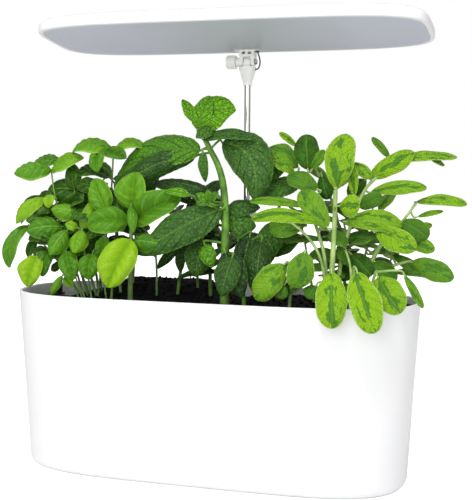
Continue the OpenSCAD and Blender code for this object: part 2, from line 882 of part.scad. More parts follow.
module led_chips() {
    pitch_x = (board_l - 2 * chip_in_x) / (led_cols - 1);
    pitch_y = (board_d - 2 * chip_in_y) / (led_rows - 1);
    color([0.95, 0.85, 0.45])
    on_lamp()
    for (i = [0 : led_cols - 1], j = [0 : led_rows - 1])
        translate([(i - (led_cols - 1) / 2) * pitch_x - chip / 2,
            board_y + (j - (led_rows - 1) / 2) * pitch_y - chip / 2, board_z - chip_t])
        cube([chip, chip, chip_t]);
}

module board_screws() {
    color([0.75, 0.76, 0.78])
    on_lamp()
    for (p = board_spots())
        translate(p) {
            translate([0, 0, board_z])
            cylinder(h = board_t + 3, d = small_screw_d, $fn = 24);
            translate([0, 0, board_z - small_head_t])
            cylinder(h = small_head_t, d = small_head_d, $fn = 24);
        }
}

module driver_board() {
    low = [driver_x - driver_l / 2, board_y - driver_d / 2, board_z + board_t];
    color([0.12, 0.4, 0.22])
    on_lamp() {
        translate(low)
        cube([driver_l, driver_d, driver_t]);
        for (p = [[6, 6, 8], [20, 5, 10], [36, 14, 8], [46, 5, 6], [8, 18, 6]])
            translate(low + [p[0], p[1], driver_t])
            cube([p[2], 0.6 * p[2], part_h]);
    }
}

// Button cap with a flange that keeps it in the shell
module power_button() {
    color([0.9, 0.9, 0.9])
    on_lamp()
    translate([button_x, button_y, 0]) {
        translate([0, 0, cavity_top - button_flange])
        cylinder(h = button_flange, d = button_flange_d, $fn = 48);
        translate([0, 0, cavity_top])
        cylinder(h = shell_wall + button_proud, d = button_d, $fn = 48);
    }
}

// Rubber dome under the button
module button_dome() {
    dome_h = board_lift - button_flange;
    color([0.75, 0.75, 0.76])
    on_lamp()
    translate([button_x, button_y, board_z + board_t])
    difference() {
        cylinder(h = dome_h, d1 = button_d - 1, d2 = button_d - 4, $fn = 32);
        translate([0, 0, -0.5])
        cylinder(h = dome_h - 0.5, d = button_d - 6, $fn = 32);
    }
}

// Outline of a pointed oval leaf, from its stalk along +X
function leaf_edge(l, w) = [for (i = [1 : leaf_n - 1])
    [l * i / leaf_n, w / 2 * pow(sin(180 * pow(i / leaf_n, 0.85)), 0.8)]];

module leaf_plate(l, w) {
    edge = leaf_edge(l, w);
    outline = concat([[0, 0]], edge, [[l, 0]],
        [for (i = [leaf_n - 2 : -1 : 0]) [edge[i][0], -edge[i][1]]]);
    translate([0, 0, -leaf_t / 2])
    linear_extrude(leaf_t)
    polygon(outline);
}

// Stem between two points
module stem(p, q, r) {
    v = q - p;
    translate(p)
    rotate([0, acos(v[2] / norm(v)), atan2(v[1], v[0])])
    cylinder(h = norm(v), r = r, $fn = 8);
}

// Leaf on a stalk at point p, turned by yaw and raised by rise
module leaf(p, yaw, rise, l, w) {
    translate(p)
    rotate([0, -rise, yaw]) {
        rotate([0, 90, 0])
        cylinder(h = stalk_l + stalk_in, r = stalk_r, $fn = 6);
        translate([stalk_l, 0, 0])
        leaf_plate(l, w);
    }
}

// Leaf from its foot to its tip that faces along face, on a stalk that starts at point p
module facing_leaf(p, foot, tip, w, face) {
    along = (tip - foot) / norm(tip - foot);
    across = cross(face, along) / norm(cross(face, along));
    up = cross(along, across);
    multmatrix([for (i = [0 : 2]) [along[i], across[i], up[i], foot[i]]])
    leaf_plate(norm(tip - foot), w);
    stem(p, foot + along * stalk_in, stalk_r);
}

// Stem from base to tip, with pairs of leaves that turn a quarter from pair to pair
module sprig(base, tip, spin, l, w) {
    stem(base, tip, stem_r);
    for (k = [0 : leaf_pairs - 1], side = [0, 180])
        let (f = 1 - k * pair_step, size = k == 0 ? top_leaf : 1)
        leaf(base + (tip - base) * f, spin + 90 * k + side, top_rise - rise_step * k,
            l * size, w * size);
}

// Cuts a herb to its own stretch of the tub, above the mix and clear of the pole
module plot(x0, x1, back) {
    intersection() {
        children();
        block([x0 + gap, -tub_d, soil_top], [x1 - gap, back, hinge_z]);
    }
}

// Surface root from the crown of a herb to the foot of one of its stems
module root(crown, foot) {
    stem([crown, 0, soil_top + stem_r / 2], [crown + foot[0], foot[1], soil_top + stem_r / 2], stem_r);
}

// Start of a stem in the mix
function foot_point(crown, foot) = [crown + foot[0], foot[1], soil_top - stem_foot];

// Herb round its crown; a sprig is its foot, its tip above the mix and the turn of its top leaves
module herb(crown, sprigs, l, w) {
    for (s = sprigs) {
        root(crown, s[0]);
        sprig(foot_point(crown, s[0]), [crown + s[1][0], s[1][1], soil_top + s[1][2]], s[2], l, w);
    }
}

// Place that shows at x and z on the sheet, at a depth behind the tub's middle plane
function seen(p) =
    let (x = (p[0] - sheet_x) * sheet_scale, z = (p[1] - sheet_z) * sheet_scale,
        ahead = [-sin(eye_turn), cos(eye_turn), 0], right = [cos(eye_turn), sin(eye_turn), 0],
        sight = (ahead * cos(eye_tilt) - [0, 0, sin(eye_tilt)]) * sheet_away + right * x
            + (ahead * sin(eye_tilt) + [0, 0, cos(eye_tilt)]) * z)
    eye + sight * (p[2] - eye[1]) / sight[1];

// Drawn stems as points, each from its foot in the mix, moved by shift
function stem_places(stems, shift) = [for (s = stems) [for (i = [0 : len(s) - 1])
    let (p = seen(s[i]) + shift) i == 0 ? [p[0], p[1], soil_top - stem_foot] : p]];

// Places along the stems where a stalk can start
function stalk_starts(places) = [for (s = places, i = [0 : len(s) - 2], k = [0 : stem_steps])
    s[i] + (s[i + 1] - s[i]) * k / stem_steps];

// Place nearest to a leaf's foot that isn't well above it
function nearest(foot, starts) =
    let (away = [for (p = starts) norm(p - foot) + (p[2] > foot[2] + stalk_up ? sheet_away : 0)])
    starts[search(min(away), away)[0]];

module drawn_stems(crown, places) {
    for (s = places) {
        root(crown, [s[0][0] - crown, s[0][1]]);
        for (i = [0 : len(s) - 2])
            stem(s[i], s[i + 1], stem_r);
    }
}

// Leaves as foot, tip, width and how far each turns up from facing the front
module drawn_leaves(leaves, places, shift, size) {
    starts = stalk_starts(places);
    for (l = leaves) {
        foot = seen(l[0]) + shift;
        tip = foot + (seen(l[1]) + shift - foot) * size;
        facing_leaf(nearest(foot, starts), foot, tip, l[2] * size, [0, -cos(l[3]), sin(l[3])]);
    }
}

module basil() {
    stems = [
        [[-148, 164, -20], [-163, 209, -12], [-179, 262, -2], [-182, 290, 5]],
        [[-135, 164, -10], [-127, 220, 0], [-120, 272, 8], [-119, 308, 10]],
        [[-141, 164, -28], [-147, 200, -30], [-152, 230, -30], [-148, 252, -26]],
        [[-102, 163, -30], [-101, 200, -34], [-101, 238, -36], [-98, 254, -32]],
        [[-154, 164, -24], [-167, 197, -22], [-190, 222, -16], [-205, 235, -15]],
        [[-126, 164, -18], [-132, 198, -24], [-126, 224, -28], [-126, 250, -30]],
        [[-145, 164, -4], [-157, 205, -4], [-171, 234, -14], [-185, 263, -12]],
        [[-121, 164, -40], [-120, 198, -46], [-104, 218, -50]],
        [[-130, 164, 20], [-138, 220, 18], [-142, 268, 16], [-126, 284, 20]]];
    leaves = [
        [[-182, 291, 5], [-220, 287, -15], 26, 58],
        [[-181, 289, 5], [-149, 304, 0], 26, 55],
        [[-173, 300, 15], [-202, 296, 12], 22, 60],
        [[-120, 309, 10], [-162, 311, 0], 27, 62],
        [[-118, 309, 10], [-85, 314, 5], 24, 66],
        [[-134, 308, 0], [-136, 289, -18], 17, 20],
        [[-126, 308, 2], [-106, 303, -10], 18, 45],
        [[-124, 283, 20], [-161, 281, 10], 24, 62],
        [[-142, 267, 15], [-187, 271, 5], 30, 28],
        [[-188, 262, -10], [-218, 236, -25], 20, 55],
        [[-171, 233, -20], [-209, 229, -35], 25, 22],
        [[-153, 245, -20], [-183, 252, -25], 20, 35],
        [[-206, 234, -15], [-226, 190, -25], 20, 58],
        [[-197, 203, -30], [-206, 172, -42], 25, 15],
        [[-183, 209, -25], [-192, 182, -35], 17, 25],
        [[-166, 229, -30], [-184, 204, -45], 23, 20],
        [[-151, 229, -35], [-159, 206, -48], 19, 15],
        [[-167, 207, -35], [-159, 179, -45], 20, 15],
        [[-140, 205, -40], [-145, 179, -50], 22, 15],
        [[-142, 228, -15], [-145, 203, -20], 15, 20],
        [[-126, 223, -25], [-134, 196, -32], 15, 20],
        [[-104, 238, -35], [-147, 234, -50], 30, 28],
        [[-98, 251, -28], [-98, 290, -10], 31, 8],
        [[-97, 238, -30], [-49, 264, -30], 32, 22],
        [[-126, 249, -30], [-139, 282, -15], 25, 10],
        [[-151, 230, -30], [-141, 260, -20], 15, 10],
        [[-102, 219, -50], [-124, 171, -66], 39, 8],
        [[-99, 218, -45], [-72, 216, -50], 19, 22]];
    behind = [
        [[-16, 26], [-42, 46, 95], 20],
        [[6, 32], [-10, 52, 113], 60],
        [[22, 24], [20, 44, 101], 10],
        [[-22, 14], [-66, 36, 73], 45],
        [[-4, -6], [-34, 4, 73], 75],
        [[18, 4], [8, 10, 85], 30]];
    shift = [basil_x - drawn_basil_x, 0, soil_top - drawn_soil];
    places = stem_places(stems, shift);
    back_leaf = basil_leaf * behind_leaf;
    color([0.33, 0.6, 0.12])
    plot(-tub_l, plot_1, tub_d) {
        drawn_stems(basil_x, places);
        drawn_leaves(leaves, places, shift, basil_leaf / drawn_basil_leaf);
        herb(basil_x, behind, back_leaf, back_leaf * basil_round);
    }
}

module mint() {
    sprigs = [
        [[-6, -8], [-18, -10, 155], 0],
        [[6, -12], [18, -22, 119], 25],
        [[-16, 4], [-44, 6, 97], 80],
        [[-24, -14], [-48, -26, 69], 35],
        [[12, -4], [26, -8, 83], 70],
        [[-10, 12], [-20, 18, 117], 10],
        [[6, -26], [14, -44, 47], 10]];
    color([0.2, 0.45, 0.13])
    plot(plot_1, plot_2, pole_y - collar_d / 2 - pole_clear)
    herb(mint_x, sprigs, mint_leaf, mint_leaf * mint_round);
}

module sage() {
    stems = [
        [[102, 160, -40], [105, 198, -40], [106, 236, -34], [106, 270, -26]],
        [[100, 168, -30], [99, 198, -32], [92, 226, -26], [79, 256, -10], [69, 290, 4]],
        [[107, 168, -26], [111, 198, -24], [121, 230, -18], [131, 260, -12], [143, 281, -2], [172, 300, 10]],
        [[133, 160, -20], [139, 188, -20], [152, 214, -20], [164, 228, -14], [174, 236, -10], [189, 257, 2]],
        [[97, 168, -36], [93, 190, -38], [75, 226, -28], [60, 236, -24]],
        [[121, 160, -40], [127, 189, -50], [117, 209, -30]],
        [[144, 162, -15], [157, 190, -15], [176, 197, -14], [184, 198, -15]],
        [[60, 166, -34], [62, 190, -44], [72, 204, -48]]];
    leaves = [
        [[105, 271, -25], [111, 329, -20], 31, 5],
        [[79, 291, 0], [77, 327, 2], 24, 10],
        [[69, 293, 5], [38, 315, 0], 22, 35],
        [[66, 286, 0], [40, 303, -5], 14, 40],
        [[142, 283, 0], [187, 309, 5], 19, 15],
        [[172, 301, 10], [231, 304, 15], 14, 45],
        [[143, 268, -5], [200, 273, 0], 15, 30],
        [[123, 298, -5], [144, 283, -10], 12, 25],
        [[131, 253, -10], [155, 264, -10], 15, 15],
        [[111, 254, -42], [132, 255, -50], 21, 10],
        [[118, 238, -25], [176, 235, -20], 21, 25],
        [[149, 229, -25], [189, 210, -35], 22, 15],
        [[174, 238, -10], [202, 221, -15], 21, 20],
        [[189, 258, 5], [241, 256, 10], 12, 35],
        [[177, 218, -10], [208, 209, -15], 15, 20],
        [[184, 197, -15], [227, 181, -25], 21, 15],
        [[77, 254, -20], [19, 260, -25], 11, 40],
        [[90, 236, -35], [21, 241, -45], 15, 35],
        [[99, 232, -35], [72, 272, -25], 22, 10],
        [[89, 271, -15], [57, 285, -10], 19, 25],
        [[75, 234, -20], [38, 230, -25], 20, 20],
        [[55, 195, -50], [25, 159, -62], 26, 10],
        [[76, 207, -50], [66, 170, -60], 25, 10],
        [[144, 196, -20], [169, 178, -25], 17, 20],
        [[116, 222, 0], [156, 220, 0], 14, 30],
        [[123, 205, -20], [144, 183, -25], 18, 15]];
    behind = [
        [[-10, 16], [-10, 34, 109], 20],
        [[10, 20], [30, 40, 85], 60],
        [[-26, 20], [-44, 40, 73], 80],
        [[24, 8], [56, 26, 59], 15],
        [[0, -4], [8, 4, 69], 40]];
    shift = [sage_x - drawn_sage_x, 0, soil_top - drawn_soil];
    places = stem_places(stems, shift);
    back_leaf = sage_leaf * behind_leaf;
    color([0.45, 0.62, 0.3]) {
        plot(plot_2, tub_l, tub_d) {
            drawn_stems(sage_x, places);
            drawn_leaves(leaves, places, shift, sage_leaf / drawn_sage_leaf);
            herb(sage_x, behind, back_leaf, back_leaf * sage_round);
        }
        sage_over_rim(shift + [0, (drawn_tub_d - tub_d) / 2, 0]);
    }
}

// Leaves that hang over the front rim, moved by shift
module sage_over_rim(shift) {
    stems = [
        [[104, 166, -46], [103, 192, -62], [103, 191, -73]],
        [[124, 166, -42], [125, 194, -60], [126, 192, -71]],
        [[140, 166, -38], [146, 192, -54], [150, 187, -62]]];
    leaves = [
        [[103, 187, -79], [104, 129, -92], 28, 5],
        [[126, 187, -77], [141, 124, -91], 31, 5],
        [[150, 182, -68], [173, 144, -80], 26, 5]];
    places = stem_places(stems, shift);
    plot(plot_2, tub_l, tub_d)
    drawn_stems(sage_x, places);
    drawn_leaves(leaves, places, shift, sage_leaf / drawn_sage_leaf);
}

outer_tub();
planting_basin();
wicks();
potting_mix();
level_guide();
level_float();
level_stem();
pole_socket();
socket_screws();
dc_inlet();
lower_post();
collet();
screw_collar();
steel_rod();
rod_guide();
pole_lead();
pole_head();
friction_washers();
hinge_bolt();
tilt_knob();
knob_insert();
lamp_bracket();
bracket_screws();
lamp_lead();
lead_grommet();
lamp_shell();
diffuser();
led_board();
led_chips();
board_screws();
driver_board();
power_button();
button_dome();
basil();
mint();
sage();
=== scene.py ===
import math
import random

import bpy
import numpy as np
from mathutils import Matrix, Vector, noise


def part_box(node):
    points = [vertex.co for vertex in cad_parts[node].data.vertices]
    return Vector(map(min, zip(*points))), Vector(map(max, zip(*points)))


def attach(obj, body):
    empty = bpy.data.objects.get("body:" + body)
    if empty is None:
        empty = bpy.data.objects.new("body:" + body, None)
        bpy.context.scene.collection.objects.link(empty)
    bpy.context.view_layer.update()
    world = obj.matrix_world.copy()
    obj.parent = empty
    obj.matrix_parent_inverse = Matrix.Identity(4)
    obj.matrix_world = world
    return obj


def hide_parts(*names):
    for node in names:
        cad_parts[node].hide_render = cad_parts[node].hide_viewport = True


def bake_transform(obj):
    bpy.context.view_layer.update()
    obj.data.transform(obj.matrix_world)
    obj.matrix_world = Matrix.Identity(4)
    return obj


# Self-watering herb garden with a grow lamp. Metres; X along the tub, -Y to the front, Z up.
# Tables of leaves and stems are in millimetres.

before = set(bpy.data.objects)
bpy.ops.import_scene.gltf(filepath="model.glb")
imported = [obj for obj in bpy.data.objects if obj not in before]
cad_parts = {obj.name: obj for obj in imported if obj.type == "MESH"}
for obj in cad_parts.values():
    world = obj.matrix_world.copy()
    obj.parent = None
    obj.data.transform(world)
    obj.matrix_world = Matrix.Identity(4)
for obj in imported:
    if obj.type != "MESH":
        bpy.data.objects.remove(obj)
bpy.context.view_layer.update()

MM = 0.001

# ---------------------------------------------------------------- camera and stage

EYE = Vector((0.3244, -0.9775, 0.2992))
TURN = math.radians(17.172)
PITCH = math.radians(-4.527)
ROLL = math.radians(0.392)
LENS = 76.42
SENSOR = 36.0

scene = bpy.context.scene
scene.view_settings.view_transform = "Standard"


def add_camera():
    """Camera at EYE, level apart from a small pitch and roll."""
    right = Vector((math.cos(TURN), math.sin(TURN), 0))
    ahead = Vector((-math.sin(TURN) * math.cos(PITCH), math.cos(TURN) * math.cos(PITCH), math.sin(PITCH)))
    up = right.cross(ahead)
    rolled_right = right * math.cos(ROLL) + up * math.sin(ROLL)
    rolled_up = up * math.cos(ROLL) - right * math.sin(ROLL)
    data = bpy.data.cameras.new("camera")
    data.lens = LENS
    data.sensor_width = SENSOR
    camera = bpy.data.objects.new("camera", data)
    turn = Matrix((rolled_right, rolled_up, -ahead)).transposed().to_4x4()
    camera.matrix_world = Matrix.Translation(EYE) @ turn
    scene.collection.objects.link(camera)
    scene.camera = camera


add_camera()


# ---------------------------------------------------------------- materials: tools

def linear(hex_code):
    """Linear colour of an sRGB hex value such as "#88AA33"."""
    levels = [int(hex_code[i:i + 2], 16) / 255 for i in (1, 3, 5)]
    return [v / 12.92 if v <= 0.04045 else ((v + 0.055) / 1.055) ** 2.4 for v in levels] + [1.0]


def add(tree, kind, values=None, links=None, onto=None, **settings):
    """Adds a node with its settings, input values and links; its first output feeds the socket onto."""
    made = tree.nodes.new(kind)
    for key, value in settings.items():
        setattr(made, key, value)
    for key, value in (values or {}).items():
        made.inputs[key].default_value = value
    for key, source in (links or {}).items():
        tree.links.new(source, made.inputs[key])
    if onto is not None:
        tree.links.new(made.outputs[0], onto)
    return made


def new_material(name, **values):
    """Material with one Principled shader; values are set on the shader's own sockets."""
    made = bpy.data.materials.new(name)
    made.use_nodes = True
    tree = made.node_tree
    shader = tree.nodes["Principled BSDF"]
    for key, value in values.items():
        shader.inputs[key.replace("_", " ")].default_value = value
    return made, tree, shader


def grain(size_mm):
    """Noise scale that gives features of that size on Object coordinates."""
    return 1 / (size_mm * MM)


def mottle(tree, shader, colour, shade, size_mm):
    """Base colour that drifts between two close shades."""
    coords = add(tree, "ShaderNodeTexCoord")
    drift = add(tree, "ShaderNodeTexNoise", {"Scale": grain(size_mm), "Detail": 3.0},
                {"Vector": coords.outputs["Object"]})
    ramp = add(tree, "ShaderNodeValToRGB", links={"Fac": drift.outputs[0]},
               onto=shader.inputs["Base Color"])
    for stop, position, stop_colour in ((0, 0.3, colour), (1, 0.7, shade)):
        ramp.color_ramp.elements[stop].position = position
        ramp.color_ramp.elements[stop].color = linear(stop_colour)
    return coords, drift


# Sockets of a Mix node set to colours: how much, the colour below, the one laid over it, the result
MIX_BY, MIX_BELOW, MIX_OVER, MIX_OUT = 0, 6, 7, 2


def moulded(name, colour, shade, roughness, grain_mm, depth_mm):
    """Injection-moulded plastic: even colour, a fine tool texture and slight uneven gloss."""
    made, tree, shader = new_material(name, IOR=1.5)
    coords, drift = mottle(tree, shader, colour, shade, 60)
    fine = add(tree, "ShaderNodeTexNoise", {"Scale": grain(grain_mm), "Detail": 2.0},
               {"Vector": coords.outputs["Object"]})
    add(tree, "ShaderNodeBump", {"Distance": depth_mm * MM}, {"Height": fine.outputs[0]},
        onto=shader.inputs["Normal"])
    add(tree, "ShaderNodeMapRange", {"To Min": roughness * 0.85, "To Max": roughness * 1.15},
        {"Value": drift.outputs[0]}, onto=shader.inputs["Roughness"])
    return made


def metal(name, colour, shade, roughness, stretch, streak_mm, depth_mm, side=None):
    """Metal with fine marks drawn out along the axes where stretch is below 1; a side colour, where given, is
    a painted reflection of the darker room that a polished round bar mirrors at its sides, laid over the
    edges turned from view."""
    made, tree, shader = new_material(name, Metallic=1.0)
    coords, _ = mottle(tree, shader, colour, shade, 8)
    if side:
        # Painted reflection: the side colour is laid over the base where the surface turns away from view
        slope = add(tree, "ShaderNodeLayerWeight", {"Blend": 0.5})
        painted_dark_sides = add(tree, "ShaderNodeMapRange", {"From Min": 0.12, "From Max": 0.4},
                    {"Value": slope.outputs["Facing"]})
        front = shader.inputs["Base Color"].links[0].from_socket
        mix = add(tree, "ShaderNodeMix", {MIX_OVER: linear(side)},
                  {MIX_BY: painted_dark_sides.outputs["Result"], MIX_BELOW: front}, data_type="RGBA")
        tree.links.new(mix.outputs[MIX_OUT], shader.inputs["Base Color"])
    mapping = add(tree, "ShaderNodeMapping", {"Scale": stretch}, {"Vector": coords.outputs["Object"]})
    marks = add(tree, "ShaderNodeTexNoise", {"Scale": grain(streak_mm), "Detail": 4.0},
                {"Vector": mapping.outputs["Vector"]})
    add(tree, "ShaderNodeBump", {"Distance": depth_mm * MM}, {"Height": marks.outputs[0]},
        onto=shader.inputs["Normal"])
    add(tree, "ShaderNodeMapRange", {"To Min": roughness * 0.7, "To Max": roughness * 1.3},
        {"Value": marks.outputs[0]}, onto=shader.inputs["Roughness"])
    return made


# ---------------------------------------------------------------- materials: the garden's own

# High-gloss ABS: sharp reflections over an even white
gloss_abs = moulded("gloss_white_abs", "#E9E9EA", "#E5E5E7", 0.12, 3.0, 0.004)
# Satin ABS of the small fittings: softer highlights, faint mould texture
satin_abs = moulded("satin_white_abs", "#F8F8F4", "#F2F2EE", 0.3, 0.8, 0.01)
# Polypropylene in black: waxy sheen over a slightly grained wall
black_pp = moulded("black_polypropylene", "#0B0B0D", "#131316", 0.42, 0.9, 0.02)
# Nylon of the inlet: dull black
black_nylon = moulded("black_nylon", "#0C0C0C", "#151515", 0.5, 0.5, 0.01)
# Acetal of the collet and guide ring: smooth, slightly oily grey
grey_acetal = moulded("grey_acetal", "#8C8C8A", "#7F7F7E", 0.35, 0.6, 0.008)
# Soft PVC sheath of the leads: black with a dull bloom
pvc_sheath = moulded("black_pvc_sheath", "#0A0A0A", "#121212", 0.48, 0.5, 0.01)
# Red cast acrylic stem: clear gloss
red_acrylic = moulded("red_acrylic", "#C2230F", "#AE1C0B", 0.15, 2.0, 0.002)
# Expanded polypropylene float: beads a few millimetres across
foam_epp = moulded("white_foam", "#EDEDE8", "#DCDCD6", 0.75, 2.5, 0.25)
# Vulcanised fibre washers: dark, dry, fibrous
fibre = moulded("vulcanised_fibre", "#1E1E20", "#2A2728", 0.7, 0.3, 0.02)
# Silicone dome: milky grey, soft gloss
silicone = moulded("grey_silicone", "#9A9A9C", "#8E8E91", 0.45, 1.0, 0.005)
# Solder mask over glass epoxy: glossy dark green
solder_mask = moulded("green_solder_mask", "#14562A", "#0F4A22", 0.3, 1.2, 0.01)
# White solder mask on the aluminium LED board
white_mask = moulded("white_solder_mask", "#DEE0E2", "#D3D6D9", 0.38, 1.2, 0.01)
# Silicone gel with phosphor over the chips: warm yellow
phosphor = moulded("phosphor_gel", "#E3C24A", "#D6B23B", 0.3, 0.5, 0.005)
# Polished stainless tube: bright in front, a painted reflection darkens its sides, fine marks along its
# length
stainless = metal("polished_stainless", "#FBFBF8", "#F0F0EC", 0.14, (1.0, 1.0, 0.03), 0.3, 0.003,
                  side="#5C5C58")
# Zinc plating on screws: greyer, slightly patchy
zinc = metal("zinc_plated_steel", "#B2B4B7", "#9EA1A5", 0.34, (1.0, 1.0, 1.0), 0.6, 0.004)
# Turned brass with tool rings
brass = metal("turned_brass", "#C0983F", "#AB8332", 0.3, (1.0, 0.1, 0.1), 0.3, 0.004)


def frosted_sheet():
    """Frosted acrylic: a fine blasted surface that scatters light; violet-grey, with painted shade, greener
    and darker, over the middle, for the driver board that lies behind the sheet."""
    made, tree, shader = new_material("frosted_acrylic", IOR=1.49, Roughness=0.3)
    coords, drift = mottle(tree, shader, "#B8BBC9", "#B0B4C2", 90)
    split = add(tree, "ShaderNodeSeparateXYZ", links={"Vector": coords.outputs["Object"]})
    wander = add(tree, "ShaderNodeMath", {1: -0.06}, {0: drift.outputs[0]}, operation="MULTIPLY")
    shifted = add(tree, "ShaderNodeMath", links={0: split.outputs["X"], 1: wander.outputs[0]},
                  operation="ADD")
    away = add(tree, "ShaderNodeMath", {1: 0.0}, {0: shifted.outputs[0]}, operation="ABSOLUTE")
    # Painted shade: the middle of the sheet is darkened and greened where the driver board behind it shows
    # through
    middle = add(tree, "ShaderNodeMapRange", {"From Min": 0.11, "From Max": 0.03},
                 {"Value": away.outputs[0]})
    ends = shader.inputs["Base Color"].links[0].from_socket
    mix = add(tree, "ShaderNodeMix", {MIX_OVER: linear("#A2AAAE")},
              {MIX_BY: middle.outputs["Result"], MIX_BELOW: ends}, data_type="RGBA")
    tree.links.new(mix.outputs[MIX_OUT], shader.inputs["Base Color"])
    blast = add(tree, "ShaderNodeTexNoise", {"Scale": grain(0.5), "Detail": 3.0},
                {"Vector": coords.outputs["Object"]})
    add(tree, "ShaderNodeBump", {"Distance": 0.012 * MM}, {"Height": blast.outputs[0]},
        onto=shader.inputs["Normal"])
    return made


def felt():
    """Needled wick felt: matted fibres, off-white, no gloss."""
    made, tree, shader = new_material("needled_felt", Roughness=0.95, Sheen_Weight=0.3)
    coords, _ = mottle(tree, shader, "#D6CFB9", "#BFB79F", 3)
    fibres = add(tree, "ShaderNodeTexNoise", {"Scale": grain(0.6), "Detail": 6.0, "Distortion": 1.5},
                 {"Vector": coords.outputs["Object"]})
    add(tree, "ShaderNodeBump", {"Distance": 0.3 * MM}, {"Height": fibres.outputs[0]},
        onto=shader.inputs["Normal"])
    return made


def peat(name, colour, shade, size_mm):
    """Damp peat and bark: nearly black, with little glint on the crumbs."""
    made, tree, shader = new_material(name, Roughness=0.85, Specular_IOR_Level=0.08)
    coords, _ = mottle(tree, shader, colour, shade, size_mm)
    crumbs = add(tree, "ShaderNodeTexVoronoi", {"Scale": grain(2.5)}, {"Vector": coords.outputs["Object"]})
    add(tree, "ShaderNodeBump", {"Distance": 0.7 * MM}, {"Height": crumbs.outputs["Distance"]},
        onto=shader.inputs["Normal"])
    return made


mix_peat = peat("damp_peat", "#05060A", "#0B0B0E", 4)
mix_bark = peat("bark_crumb", "#0A0A0D", "#14110F", 3)


